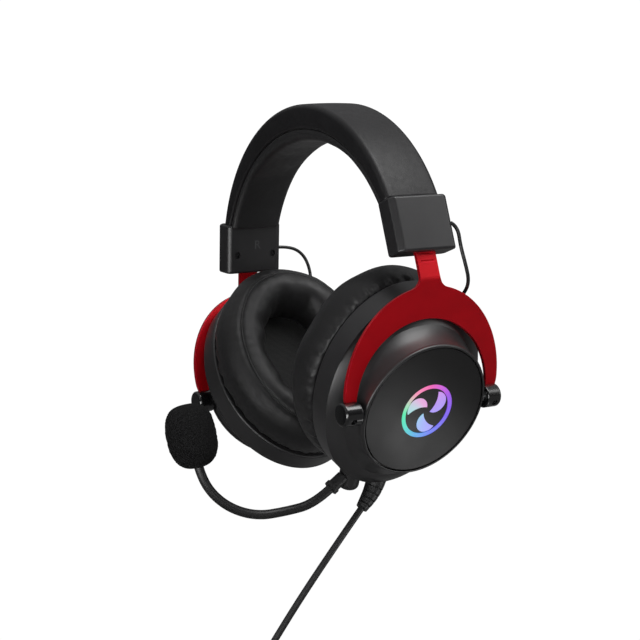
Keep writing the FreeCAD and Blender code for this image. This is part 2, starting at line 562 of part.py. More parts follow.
# volume wheel and mute button on the rear edge of the left housing
WH_A, WH_T = -22.5, math.radians(-24.0)
wy, wv = RIM_Y * math.cos(WH_T), RIM_V * math.sin(WH_T)
nrm = V(0, math.cos(WH_T) / RIM_Y, math.sin(WH_T) / RIM_V)
nrm.normalize()
tan = V(0, -nrm.z, nrm.y)
wc = V(WH_A, wy, wv) - nrm * 5.2
wheel = cyl(7.0, wc - V(2.0, 0, 0), wc + V(2.0, 0, 0))
wheel = fillet_some(wheel, 0.5, lambda e: e.BoundBox.XLength < 0.1)
for k in range(24):
    t = 2 * math.pi * k / 24
    d = V(0, math.cos(t), math.sin(t)) * 7.15
    wheel = wheel.cut(cyl(0.35, wc + d - V(3, 0, 0), wc + d + V(3, 0, 0)))
wheel = one(wheel.fuse(cyl(1.4, wc - V(3.6, 0, 0), wc + V(3.6, 0, 0))))
win = cyl(7.5, wc - V(2.4, 0, 0), wc + V(2.4, 0, 0))
axle = cyl(1.5, wc - V(3.6, 0, 0), wc + V(3.6, 0, 0))
lh = lh.cut(cup(win))
brk = []
for s in (-1, 1):
    x = WH_A + s * 3.2
    plate_w = slab(x - 0.6, x + 0.6, -8, 8, -3.4, 3.4)
    plate_w.rotate(V(0, 0, 0), V(1, 0, 0), math.degrees(math.atan2(nrm.z, nrm.y)))
    plate_w.translate(V(0, wc.y, wc.z))
    brk.append(plate_w.common(oval(RIM_BACK, RIM_FRONT, RIM_Y - 0.4, RIM_V - 0.4)).cut(axle))
for b in brk:
    lh = lh.fuse(cup(b))
MB_T = math.radians(-2.0)
my, mv = RIM_Y * math.cos(MB_T), RIM_V * math.sin(MB_T)
btn_c = V(WH_A, my, mv)
btn = cyl(3.4, btn_c + V(0, 1.6, 0), btn_c - V(0, 4.0, 0))
btn = fillet_some(btn, 0.7, lambda e: abs(e.BoundBox.Center.y - (my + 1.6)) < 0.01)
btn = one(btn.fuse(cyl(4.6, btn_c - V(0, 3.2, 0), btn_c - V(0, 4.2, 0))))
lh = lh.cut(cup(cyl(3.65, btn_c + V(0, 5, 0), btn_c - V(0, 3.0, 0))))
lh = lh.cut(cup(cyl(4.9, btn_c - V(0, 2.6, 0), btn_c - V(0, 4.6, 0)).common(oval(RIM_BACK, RIM_FRONT, RIM_Y - 2.0, RIM_V))))
add("volume_wheel", cup(wheel))
add("mute_button", cup(btn))
for dy in (0.0, -0.4, -0.8, -1.2, -1.7):
    nodes["left_baffle"] = nodes["left_baffle"].cut(cup(cyl(4.9, btn_c + V(0, dy - 3.0, 0), btn_c + V(0, dy - 4.5, 0))))
nodes["left_baffle"] = one(nodes["left_baffle"])
board = slab(-13.4, -11.8, -16, 16, -30, -12)
for (y0, y1, z0, z1, h) in ((-6, 3, -26, -17, 1.4), (6, 12, -24, -18, 1.0), (-13, -9, -20, -15, 1.8)):
    board = board.fuse(slab(-11.8, -11.8 + h, y0, y1, z0, z1))
add("sound_board", cup(one(board)))

# strain relief: tapered, bending forward
bp = [(V(32.9, -1.6, -177.0), V(-0.10, -0.22, -1.0), 5.7), (V(32.6, -2.9, -180.6), V(-0.04, -0.36, -0.93), 5.3),
      (V(32.5, -5.8, -185.9), V(0, -0.56, -0.83), 4.7), (V(32.5, -9.9, -190.8), V(0, -0.69, -0.73), 3.9),
      (V(32.5, -13.4, -194.25), V(0, -0.726, -0.688), 3.1)]
rings = []
for p, d, r in bp:
    rings.append(Part.Wire(Part.Circle(p, d, r).toShape()))
boot = Part.makeLoft(rings, True, False)
lhs = one(lh)
boot = one(boot.cut(cup(funnel(0.0))).cut(cup(oval(RIM_BACK, RIM_FRONT, RIM_Y, RIM_V))))
boot = max(boot.Solids, key=lambda s: s.Volume)
# four slots across its outward side
for k, (y, z, r) in enumerate(((-4.9, -184.4, 4.9), (-6.9, -187.3, 4.5), (-9.1, -190.0, 4.1), (-11.3, -192.4, 3.6))):
    dz = V(0, -0.52 - 0.05 * k, -0.85 + 0.05 * k)
    dz.normalize()
    ring = Part.makeCylinder(r + 2, 0.8, V(32.5, y, z), dz).cut(Part.makeCylinder(r - 0.9, 3, V(32.5, y, z) - dz, dz))
    ring = ring.common(slab(33.0, 45, y - 3.6 * r / 4.5, y + 3.6 * r / 4.5, -220, -150))
    boot = one(boot.cut(ring))
add("strain_relief", boot)
nodes["left_rear_housing"] = lhs

# ---------------------------------------------------------------- microphone
c0 = MIC_P + MIC_D * (BAR_R + 0.35)
c1 = c0 + MIC_D * 9.0
colr = cyl(3.3, c0 + MIC_D * 0.0, c1)
rim_c = cyl(3.9, c1 - MIC_D * 2.2, c1)
tip = cyl(1.72, MIC_P + MIC_D * 1.4, c0)
# the collar's root clears the round barrel
plugc = colr.fuse(rim_c)
plugc = plugc.cut(cup(cyl(BAR_R + 0.3, V(BAR_A, BAR_Y, BAR_TOP), V(BAR_A, BAR_Y, BAR_END - 3))))
plugc = max(plugc.Solids, key=lambda s: s.Volume)
add("mic_collar", plugc)
tip = one(tip.cut(plugc))
tip = max(tip.Solids, key=lambda s: s.Volume)
add("mic_plug", tip)


def tube_path(pts, d):
    """Straight runs joined by tangent arcs, as one closed tube. Prints the radii."""
    P = [V(*p) if not isinstance(p, V) else p for p in pts]
    edges, cur, radii, length = [], P[0], [], 0.0
    for i in range(1, len(P) - 1):
        a, b, c = P[i - 1], P[i], P[i + 1]
        u, w = b - a, c - b
        lu, lw = u.Length, w.Length
        u.normalize()
        w.normalize()
        turn = math.acos(max(-1, min(1, u.dot(w))))
        t = 0.45 * min(lu, lw)
        r = t / math.tan(turn / 2)
        s, e = b - u * t, b + w * t
        bis = (w - u)
        bis.normalize()
        mid = b + bis * (math.hypot(r, t) - r)
        if (s - cur).Length > 1e-6:
            edges.append(Part.LineSegment(cur, s).toShape())
            length += (s - cur).Length
        edges.append(Part.Arc(s, mid, e).toShape())
        length += r * turn
        cur = e
        radii.append(round(r, 1))
    edges.append(Part.LineSegment(cur, P[-1]).toShape())
    length += (P[-1] - cur).Length
    wire = Part.Wire(edges)
    first = (P[1] - P[0])
    prof = Part.Wire(Part.Circle(P[0], first, d / 2).toShape())
    sol = wire.makePipeShell([prof], True, False)
    sol = one(sol)
    return sol, radii, length


BOOM = [c1, c1 + MIC_D * 12.0, V(26.6, -56.0, -190.3), V(23.8, -70.5, -190.6), V(21.4, -84.2, -185.0), V(19.7, -94.2, -175.2), V(18.8, -98.8, -163.0), V(18.6, -100.0, -153.0)]
print("boom root", c1, "then", BOOM[1])
boom, radii, length = tube_path(BOOM, 4.8)
print("boom radii", radii, "length %.1f" % length, "volume ratio %.4f" % (boom.Volume / (math.pi * 2.4 ** 2 * length)))
boom = one(boom)
add("mic_boom", boom)
b_end = BOOM[-1]
b_dir = BOOM[-1] - BOOM[-2]
b_dir.normalize()
cap_m = one(cyl(4.9, b_end, b_end + b_dir * 9.0))
add("mic_capsule", cap_m)
FOAM_R = 12.4
F_LO, F_HI = b_end - b_dir * 9.5, b_end + b_dir * 22.5
fo = cyl(FOAM_R, F_LO, F_HI)
fo = fillet_some(fo, 10.5, lambda e: (e.BoundBox.Center - F_HI).Length < 1.0)
fo = fillet_some(fo, 8.0, lambda e: (e.BoundBox.Center - F_LO).Length < 1.0)
fo = one(fo.cut(cap_m).cut(boom))
add("mic_foam", fo)

# ---------------------------------------------------------------- cord
exit_p = bp[-1][0]
ed = bp[-1][1]
ed.normalize()
CORD = [exit_p, V(32.4, -45.3, -224.5), V(32.2, -75.5, -256.5), V(31.6, -93.0, -277.5), V(30.2, -107.5, -290.0),
        V(27.4, -124.5, -296.8), V(23.0, -141.0, -298.25)]
tube, radii, length = tube_path(CORD, CORD_D)
print("cord radii", radii, "length %.1f" % length, "volume ratio %.4f" % (tube.Volume / (math.pi * (CORD_D / 2) ** 2 * length)))
add("cord", tube)

add_dir = CORD[-1] - CORD[-2]
add_dir.normalize()
COIL_RM, COIL_B, COIL_H, COIL_LIFT = 20.0, 14.0, 13.6, 0.9
side = V(-add_dir.y, add_dir.x, 0)
side.normalize()
coil_c = V(CORD[-1].x, CORD[-1].y, FLOOR_Z + COIL_LIFT) + side * -(COIL_RM + COIL_B / 2 - CORD_D / 2 + 0.3)
coil = Part.makeCylinder(COIL_RM + COIL_B / 2, COIL_H, coil_c).cut(Part.makeCylinder(COIL_RM - COIL_B / 2, COIL_H, coil_c))
coil = fillet_some(coil, 3.5, lambda e: hasattr(e.Curve, "Radius"))
print("coil centre", coil_c)
add("cord_coil", one(coil))

# a strap round one side of the coil
t0 = 0.8
tie = slab(COIL_RM - COIL_B / 2 - 0.2 - t0, COIL_RM + COIL_B / 2 + 0.2 + t0, -5, 5, -COIL_LIFT, COIL_H + 0.2 + t0)
tie = fillet_some(tie, 3.2, lambda e: e.BoundBox.YLength > 9.9)
tie = tie.cut(fillet_some(slab(COIL_RM - COIL_B / 2 - 0.15, COIL_RM + COIL_B / 2 + 0.15, -6, 6, -COIL_LIFT + t0 - 0.05, COIL_H + 0.15), 2.6, lambda e: e.BoundBox.YLength > 11.9))
tie = one(tie)
TIE_DEG = 95.0
tie.rotate(V(0, 0, 0), V(0, 0, 1), TIE_DEG)
tie.translate(coil_c)
add("cord_tie", tie)

# USB plug beside the coil; the lead leaves the coil at a tangent
PLUG_DEG = 200.0
pt = math.radians(PLUG_DEG)
p_out = V(math.cos(pt), math.sin(pt), 0)
p_tan = V(math.sin(pt), -math.cos(pt), 0)     # the way the turns run
p0 = coil_c + p_out * (COIL_RM + COIL_B / 2 - CORD_D / 2 - 0.2) + V(0, 0, 2.9)
print("plug lead leaves at", p0, "along", p_tan)
tail = cone(1.9, 2.6, p0 + p_tan * 9.0, p0 + p_tan * 19.0)
grip = slab(0, 22, -6.4, 6.4, -3.7, 3.7)
grip = fillet_some(grip, 2.6, lambda e: e.BoundBox.XLength > 21)
grip = fillet_some(grip, 1.0, lambda e: e.BoundBox.XLength < 0.1)
shellu = slab(22, 34, -6.0, 6.0, -2.25, 2.25).cut(slab(23, 35, -5.7, 5.7, 0.0, 1.95)).cut(slab(23, 35, -5.7, 5.7, -1.95, -1.9))
for y in (-2.6, 2.6):
    shellu = shellu.cut(slab(26.5, 28.8, y - 1.1, y + 1.1, 1.5, 3))
for k, sh in (("g", grip), ("s", shellu)):
    sh.rotate(V(0, 0, 0), V(0, 0, 1), math.degrees(math.atan2(p_tan.y, p_tan.x)))
    sh.translate(p0 + p_tan * 19.0 + V(0, 0, 0))
add("usb_plug_grip", one(grip.fuse(tail)))
add("usb_plug_shell", one(shellu))

# ---------------------------------------------------------------- leads from the slider housings to the cups
# each comes out of the housing's back face and goes down into the top of the cup
L_LEAD = [leg_point(3.2, BOX_W / 2, 0.6), V(89.0, 21.0, -54.2), V(89.3, 21.6, -64.0), V(88.8, 24.2, -73.5), V(87.0, 26.8, -81.5), V(82.8, 27.0, -87.2), V(76.8, 25.6, -91.8)]
R_LEAD = [V(-leg_point(0.5, 0, 1.4).x, BOX_W / 2, leg_point(0.5, 0, 1.4).z), V(-85.2, 27.5, -53.2), V(-84.4, 36.3, -58.2), V(-83.0, 39.4, -68.0), V(-80.4, 37.3, -78.0), V(-77.2, 32.2, -85.4), V(-74.6, 28.0, -90.4)]
for nm, pts in (("left_lead", L_LEAD), ("right_lead", R_LEAD)):
    tb, radii, length = tube_path(pts, JUMP_D)
    print(nm, "radii", radii, "length %.1f" % length, "volume ratio %.4f" % (tb.Volume / (math.pi * (JUMP_D / 2) ** 2 * length)))
    # the ends meet the housings face to face
    side = nm.split("_")[0]
    tb = tb.cut(nodes[side + "_slider_outer"]).cut(nodes[side + "_rear_housing"])
    add(nm, max(tb.Solids, key=lambda q: q.Volume))

for n, s in nodes.items():
    s.exportStep(os.path.join("parts", n + ".step"))
    bad = [k for k in s.Solids if not k.isValid()]
    bb = s.BoundBox
    print("%-22s solids %d vol %9.1f %s box %s" % (n, len(s.Solids), s.Volume, "INVALID" if bad or not s.isValid() else "", [round(v, 1) for v in (bb.XMin, bb.XMax, bb.YMin, bb.YMax, bb.ZMin, bb.ZMax)]))
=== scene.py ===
import bpy, math
import numpy as np
from mathutils import Vector, Matrix


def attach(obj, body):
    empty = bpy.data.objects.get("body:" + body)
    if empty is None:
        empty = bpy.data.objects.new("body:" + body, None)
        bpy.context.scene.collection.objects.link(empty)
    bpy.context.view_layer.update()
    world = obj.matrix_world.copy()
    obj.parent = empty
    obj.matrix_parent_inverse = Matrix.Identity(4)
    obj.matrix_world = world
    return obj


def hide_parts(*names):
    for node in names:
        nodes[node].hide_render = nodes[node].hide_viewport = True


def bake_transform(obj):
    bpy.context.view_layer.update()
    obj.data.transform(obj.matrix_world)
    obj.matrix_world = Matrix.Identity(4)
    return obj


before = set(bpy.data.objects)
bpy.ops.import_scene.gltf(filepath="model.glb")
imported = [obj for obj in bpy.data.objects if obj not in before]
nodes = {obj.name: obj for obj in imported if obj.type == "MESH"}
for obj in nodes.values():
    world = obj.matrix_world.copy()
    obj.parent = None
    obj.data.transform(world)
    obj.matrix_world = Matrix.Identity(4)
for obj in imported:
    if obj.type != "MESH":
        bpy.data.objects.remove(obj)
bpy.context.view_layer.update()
scene = bpy.context.scene
MM = 0.001

# ---------------------------------------------------------------- camera
AZ, EL, ROLL = math.radians(58.02), math.radians(1.34), math.radians(4.89)
DIST, FPX = 0.87992, 1637.49
LOOK = Vector((-0.00341, -0.00646, -0.09616))
tow = Vector((math.sin(AZ) * math.cos(EL), -math.cos(AZ) * math.cos(EL), math.sin(EL)))
right = Vector((math.cos(AZ), math.sin(AZ), 0))
up = tow.cross(right)
xr = right * math.cos(ROLL) - up * math.sin(ROLL)
yu = right * math.sin(ROLL) + up * math.cos(ROLL)
pos = LOOK + tow * DIST
cam = bpy.data.objects.new("camera", bpy.data.cameras.new("camera"))
scene.collection.objects.link(cam)
cam.data.sensor_width = 36.0
cam.data.lens = FPX * 36.0 / 640.0
cam.data.clip_start = 0.02
cam.data.clip_end = 50
cam.data.dof.use_dof = False
cam.matrix_world = Matrix(((xr.x, yu.x, tow.x, pos.x), (xr.y, yu.y, tow.y, pos.y), (xr.z, yu.z, tow.z, pos.z), (0, 0, 0, 1)))
scene.camera = cam


# ---------------------------------------------------------------- materials
def new_mat(name):
    m = bpy.data.materials.new(name)
    m.use_nodes = True
    nt = m.node_tree
    return m, nt, nt.nodes["Principled BSDF"]


def noise_node(nt, scale, detail=2.0, rough=0.5, co=None):
    n = nt.nodes.new("ShaderNodeTexNoise")
    n.inputs["Scale"].default_value = scale
    n.inputs["Detail"].default_value = detail
    n.inputs["Roughness"].default_value = rough
    nt.links.new(co, n.inputs["Vector"])
    return n.outputs["Fac"]


def remap(nt, fac, lo, hi, a=0.3, b=0.7):
    r = nt.nodes.new("ShaderNodeMapRange")
    r.inputs["From Min"].default_value = a
    r.inputs["From Max"].default_value = b
    r.inputs["To Min"].default_value = lo
    r.inputs["To Max"].default_value = hi
    nt.links.new(fac, r.inputs["Value"])
    return r.outputs["Result"]


def two_tone(nt, fac, c0, c1, a=0.35, b=0.65):
    r = nt.nodes.new("ShaderNodeValToRGB")
    r.color_ramp.elements[0].position = a
    r.color_ramp.elements[1].position = b
    r.color_ramp.elements[0].color = (*c0, 1)
    r.color_ramp.elements[1].color = (*c1, 1)
    nt.links.new(fac, r.inputs["Fac"])
    return r.outputs["Color"]


def bump(nt, height, dist, strength=1.0, under=None):
    b = nt.nodes.new("ShaderNodeBump")
    b.inputs["Strength"].default_value = strength
    b.inputs["Distance"].default_value = dist
    nt.links.new(height, b.inputs["Height"])
    if under is not None:
        nt.links.new(under, b.inputs["Normal"])
    return b.outputs["Normal"]


def coords(nt):
    return nt.nodes.new("ShaderNodeTexCoord").outputs["Object"]


def moulded(name, c, rough, var=0.05, grain=2600, depth=0.00002, spec=0.5, coat=0.0, coat_rough=0.2):
    """Moulded plastic: spark-eroded grain, faint sink and handling marks."""
    m, nt, p = new_mat(name)
    co = coords(nt)
    fine = noise_node(nt, grain, 3.0, 0.6, co)
    broad = noise_node(nt, 45, 3.0, 0.55, co)
    nt.links.new(two_tone(nt, broad, tuple(x * 0.86 for x in c), tuple(x * 1.14 for x in c)), p.inputs["Base Color"])
    nt.links.new(remap(nt, broad, rough - var, rough + var), p.inputs["Roughness"])
    n = bump(nt, broad, 0.00012, 0.35)
    nt.links.new(bump(nt, fine, depth, 0.7, n), p.inputs["Normal"])
    p.inputs["Specular IOR Level"].default_value = spec
    p.inputs["Coat Weight"].default_value = coat
    p.inputs["Coat Roughness"].default_value = coat_rough
    return m


def leatherette(name, c, rough=0.46, cell=1150, depth=0.00006, spec=0.5, sheen=0.08):
    """PU leather: pebble grain, fine creases, slow colour change."""
    m, nt, p = new_mat(name)
    co = coords(nt)
    v = nt.nodes.new("ShaderNodeTexVoronoi")
    v.feature = "DISTANCE_TO_EDGE"
    v.inputs["Scale"].default_value = cell
    wob = nt.nodes.new("ShaderNodeTexNoise")
    wob.inputs["Scale"].default_value = cell * 0.45
    nt.links.new(co, wob.inputs["Vector"])
    mix = nt.nodes.new("ShaderNodeVectorMath")
    mix.operation = "MULTIPLY_ADD"
    nt.links.new(wob.outputs["Color"], mix.inputs[0])
    mix.inputs[1].default_value = (0.0009, 0.0009, 0.0009)
    nt.links.new(co, mix.inputs[2])
    nt.links.new(mix.outputs["Vector"], v.inputs["Vector"])
    cells = remap(nt, v.outputs["Distance"], 0.0, 1.0, 0.0, 0.22)
    broad = noise_node(nt, 38, 4.0, 0.6, co)
    crease = noise_node(nt, 260, 3.0, 0.65, co)
    nt.links.new(two_tone(nt, broad, tuple(x * 0.82 for x in c), tuple(x * 1.18 for x in c)), p.inputs["Base Color"])
    nt.links.new(remap(nt, crease, rough - 0.06, rough + 0.08), p.inputs["Roughness"])
    n = bump(nt, broad, 0.0005, 0.35)
    n = bump(nt, crease, 0.00012, 0.5, n)
    nt.links.new(bump(nt, cells, depth, 0.6, n), p.inputs["Normal"])
    p.inputs["Specular IOR Level"].default_value = spec
    p.inputs["Sheen Weight"].default_value = sheen
    p.inputs["Sheen Roughness"].default_value = 0.45
    return m


def metal(name, c, rough, stretch=(1, 1, 1), grain=900, depth=0.00001):
    m, nt, p = new_mat(name)
    co = coords(nt)
    mp = nt.nodes.new("ShaderNodeMapping")
    mp.inputs["Scale"].default_value = stretch
    nt.links.new(co, mp.inputs["Vector"])
    fine = noise_node(nt, grain, 3.0, 0.6, mp.outputs["Vector"])
    broad = noise_node(nt, 60, 2.0, 0.5, co)
    nt.links.new(two_tone(nt, broad, tuple(x * 0.93 for x in c), tuple(min(1, x * 1.07) for x in c)), p.inputs["Base Color"])
    nt.links.new(remap(nt, fine, rough - 0.05, rough + 0.06), p.inputs["Roughness"])
    nt.links.new(bump(nt, fine, depth, 0.6), p.inputs["Normal"])
    p.inputs["Metallic"].default_value = 1.0
    return m


def foam_mat(name, c):
    m, nt, p = new_mat(name)
    co = coords(nt)
    v = nt.nodes.new("ShaderNodeTexVoronoi")
    v.inputs["Scale"].default_value = 1500
    nt.links.new(co, v.inputs["Vector"])
    fine = noise_node(nt, 2200, 3.0, 0.7, co)
    nt.links.new(two_tone(nt, v.outputs["Distance"], tuple(x * 1.5 for x in c), tuple(x * 0.4 for x in c), 0.1, 0.6), p.inputs["Base Color"])
    nt.links.new(remap(nt, fine, 0.86, 0.98), p.inputs["Roughness"])
    n = bump(nt, v.outputs["Distance"], 0.0004, 0.9)
    nt.links.new(bump(nt, fine, 0.0002, 0.7, n), p.inputs["Normal"])
    p.inputs["Specular IOR Level"].default_value = 0.12
    return m


def knit_mat(name, c):
    m, nt, p = new_mat(name)
    co = coords(nt)
    w1 = nt.nodes.new("ShaderNodeTexWave")
    w1.inputs["Scale"].default_value = 480
    w1.bands_direction = "Y"
    w2 = nt.nodes.new("ShaderNodeTexWave")
    w2.inputs["Scale"].default_value = 480
    w2.bands_direction = "Z"
    for w in (w1, w2):
        w.inputs["Distortion"].default_value = 0.6
        nt.links.new(co, w.inputs["Vector"])
    mul = nt.nodes.new("ShaderNodeMath")
    mul.operation = "MULTIPLY"
    nt.links.new(w1.outputs["Fac"], mul.inputs[0])
    nt.links.new(w2.outputs["Fac"], mul.inputs[1])
    nt.links.new(two_tone(nt, mul.outputs["Value"], tuple(x * 0.4 for x in c), tuple(x * 1.5 for x in c), 0.1, 0.8), p.inputs["Base Color"])
    nt.links.new(bump(nt, mul.outputs["Value"], 0.0003, 0.8), p.inputs["Normal"])
    nt.links.new(remap(nt, mul.outputs["Value"], 0.95, 0.8, 0, 1), p.inputs["Roughness"])
    p.inputs["Sheen Weight"].default_value = 0.15
    return m


M = {
    "shell": moulded("satin_shell", (0.0105, 0.0101, 0.0106), 0.38, 0.04, 2600, 0.000005),
    "cap": moulded("matte_cap", (0.0028, 0.0026, 0.0028), 0.40, 0.04, 3200, 0.000005, 0.28),
    "gloss": moulded("gloss_black", (0.003, 0.003, 0.0033), 0.18, 0.05, 1500, 0.000002, 0.5, 0.3, 0.10),
    "box": moulded("slider_shell", (0.0095, 0.0091, 0.0098), 0.38, 0.04, 2600, 0.000006),
    "grey": moulded("inner_plastic", (0.010, 0.010, 0.0105), 0.5, 0.05, 2600, 0.000005),
    "film": moulded("driver_film", (0.35, 0.35, 0.37), 0.3, 0.05, 2600, 0.000003),
    "board": moulded("board_green", (0.008, 0.09, 0.035), 0.35, 0.05, 2600, 0.000003),
    "rubber": moulded("soft_rubber", (0.0075, 0.0074, 0.0077), 0.42, 0.05, 2200, 0.000005, 0.4),
    "stem": moulded("stem_rubber", (0.0065, 0.0064, 0.0066), 0.38, 0.03, 1800, 0.0000008, 0.45),
    "cable": moulded("cable_jacket", (0.0070, 0.0069, 0.0072), 0.40, 0.03, 1600, 0.0000008, 0.45),
    "band": leatherette("band_leatherette", (0.0050, 0.0047, 0.0052), 0.44, 1250, 0.000022, 0.26, 0.02),
    "pad": leatherette("pad_leatherette", (0.0068, 0.0066, 0.0070), 0.47, 1150, 0.000026, 0.42, 0.03),
    "cushion": leatherette("cushion_leatherette", (0.0058, 0.0056, 0.0059), 0.47, 1150, 0.000026, 0.31, 0.015),
    "piping": leatherette("piping_leatherette", (0.0035, 0.0035, 0.0036), 0.5, 1500, 0.00002, 0.3, 0.0),
    "red": metal("red_anodised", (0.45, 0.0006, 0.0062), 0.38, (1, 1, 1), 2600, 0.000001),
    # lighter red for the forks' chamfer faces: partly a bright cut edge, partly a painted highlight
    "red_edge_highlight": metal("red_cut_edge_painted_highlight", (0.80, 0.030, 0.070), 0.34, (1, 1, 1), 2600, 0.000001),
    "steel": metal("spring_steel", (0.56, 0.57, 0.58), 0.32, (1, 8, 1), 500, 0.000004),
    "dark_steel": metal("blackened_steel", (0.05, 0.05, 0.052), 0.36, (1, 1, 1), 900, 0.000004),
    "plate": metal("plated_shell", (0.68, 0.68, 0.70), 0.22, (1, 6, 1), 700, 0.000003),
    "magnet": metal("magnet_plate", (0.6, 0.6, 0.62), 0.25, (1, 1, 1), 900, 0.000003),
    "foam": foam_mat("mic_foam", (0.0066, 0.0066, 0.0068)),
    "knit": knit_mat("driver_knit", (0.0011, 0.0011, 0.0011)),
    "ink": moulded("mark_ink", (0.035, 0.035, 0.037), 0.6, 0.05, 2600, 0.000003),
}


for k_ in ("cable", "stem"):
    nt_ = M[k_].node_tree
    for l_ in list(nt_.links):
        if l_.to_socket.name == "Normal" and l_.to_node.type == "BSDF_PRINCIPLED":
            nt_.links.remove(l_)
M["red"].node_tree.nodes["Principled BSDF"].inputs["Coat Weight"].default_value = 0.08
M["red"].node_tree.nodes["Principled BSDF"].inputs["Metallic"].default_value = 0.66
M["red"].node_tree.nodes["Principled BSDF"].inputs["Specular IOR Level"].default_value = 0.3
M["red"].node_tree.nodes["Principled BSDF"].inputs["Coat Roughness"].default_value = 0.28


def glow(name, centre, ydir, vdir):
    """Lit emblem: colours run round its centre."""
    m, nt, p = new_mat(name)
    co = coords(nt)

    def dot(d):
        s = nt.nodes.new("ShaderNodeVectorMath")
        s.operation = "SUBTRACT"
        nt.links.new(co, s.inputs[0])
        s.inputs[1].default_value = centre
        k = nt.nodes.new("ShaderNodeVectorMath")
        k.operation = "DOT_PRODUCT"
        nt.links.new(s.outputs["Vector"], k.inputs[0])
        k.inputs[1].default_value = d
        return k.outputs["Value"]
    y, v = dot(ydir), dot(vdir)
    at = nt.nodes.new("ShaderNodeMath")
    at.operation = "ARCTAN2"
    nt.links.new(v, at.inputs[0])
    nt.links.new(y, at.inputs[1])
    fac = remap(nt, at.outputs["Value"], 0.0, 1.0, -math.pi, math.pi)
    ramp = nt.nodes.new("ShaderNodeValToRGB")
    r = ramp.color_ramp
    # from the left, through below, right, above, and back
    cols = [(0.0, (0.0, 0.78, 0.34)), (0.09, (0.0, 0.68, 0.50)), (0.19, (0.01, 0.36, 0.72)), (0.30, (0.08, 0.14, 0.84)),
            (0.46, (0.17, 0.07, 0.84)), (0.58, (0.30, 0.07, 0.80)), (0.68, (0.62, 0.08, 0.70)), (0.77, (0.90, 0.10, 0.42)),
            (0.86, (0.92, 0.26, 0.44)), (0.94, (0.36, 0.66, 0.44)), (1.0, (0.0, 0.78, 0.34))]
    r.elements[0].position, r.elements[0].color = cols[0][0], (*cols[0][1], 1)
    r.elements[1].position, r.elements[1].color = cols[-1][0], (*cols[-1][1], 1)
    for q, c in cols[1:-1]:
        e = r.elements.new(q)
        e.color = (*c, 1)
    nt.links.new(fac, ramp.inputs["Fac"])
    # inside the ring the light is paler
    d2 = nt.nodes.new("ShaderNodeVectorMath")
    d2.operation = "DISTANCE"
    nt.links.new(co, d2.inputs[0])
    d2.inputs[1].default_value = centre
    pale = remap(nt, d2.outputs["Value"], 0.46, 0.0, 0.0118, 0.0124)
    mixc = nt.nodes.new("ShaderNodeMix")
    mixc.data_type = "RGBA"
    nt.links.new(pale, mixc.inputs[0])
    nt.links.new(ramp.outputs["Color"], mixc.inputs[6])
    mixc.inputs[7].default_value = (0.60, 0.52, 1.0, 1)
    nt.links.new(mixc.outputs[2], p.inputs["Emission Color"])
    p.inputs["Base Color"].default_value = (0.05, 0.05, 0.06, 1)
    p.inputs["Emission Strength"].default_value = 0.92
    p.inputs["Roughness"].default_value = 0.35
    return m


# ---------------------------------------------------------------- the CAD's own frames, in millimetres
TILT, LEAN = math.radians(28.0), math.radians(11.2)


def cup(a, y, v, side=1):
    """A point of the cup's frame: a out along its axis, y, v up across the axis."""
    x = 75.5 + a * math.cos(TILT) + v * math.sin(TILT)
    z = -141.0 - a * math.sin(TILT) + v * math.cos(TILT)
    if side < 0:
        x, z = -x + 0.777, z + 3.924
    return np.stack([x * MM, (np.asarray(y) - 1.0) * MM, z * MM], axis=-1) if np.ndim(x) or np.ndim(y) else np.array([x * MM, (y - 1.0) * MM, z * MM])


def leg(u, y, w, side=1):
    x = 85.0 + u * math.cos(LEAN) + w * math.sin(LEAN)
    z = -52.0 + u * math.sin(LEAN) - w * math.cos(LEAN)
    return np.array([side * x * MM, y * MM, z * MM])


def paint(obj, m):
    obj.data.materials.clear()
    obj.data.materials.append(m)
    if obj.type == "MESH":
        obj.data.polygons.foreach_set("material_index", np.zeros(len(obj.data.polygons), np.int32))
        obj.data.update()


GROUPS = {
    "steel": ["steel_band", "detent_leaves", "left_pivot_pins", "right_pivot_pins"],
    "dark_steel": ["slider_screws", "left_block_screws", "right_block_screws", "left_cup_screws", "right_cup_screws"],
    "box": ["left_slider_outer", "left_slider_inner", "right_slider_outer", "right_slider_inner"],
    "red": ["left_yoke", "right_yoke"],
    "gloss": ["left_pivot_blocks", "right_pivot_blocks"],
    "shell": ["left_front_housing", "right_front_housing", "left_rear_housing", "right_rear_housing", "mic_barrel", "mute_button", "volume_wheel", "mic_capsule"],
    "cap": ["left_cap", "right_cap"],
    "board": ["left_led_board", "right_led_board", "sound_board"],
    "grey": ["left_baffle", "right_baffle", "left_driver_frame", "right_driver_frame"],
    "magnet": ["left_driver_magnet", "right_driver_magnet"],
    "film": ["left_diaphragm", "right_diaphragm"],
    "knit": ["left_driver_cloth", "right_driver_cloth"],
    "rubber": ["strain_relief", "mic_collar", "usb_plug_grip"],
    "plate": ["mic_plug", "usb_plug_shell"],
}
for k, ns in GROUPS.items():
    for n in ns:
        paint(nodes[n], M[k])
for side, s in ((1, "left"), (-1, "right")):
    c = cup(3.75, 1.7, -1.8, side)
    vd = cup(0, 0, 1, side) - cup(0, 0, 0, side)
    vd = vd / np.linalg.norm(vd)
    paint(nodes[s + "_light_guide"], glow("emblem_light_" + s, tuple(c), (0, 1.0 * side, 0), tuple(vd)))
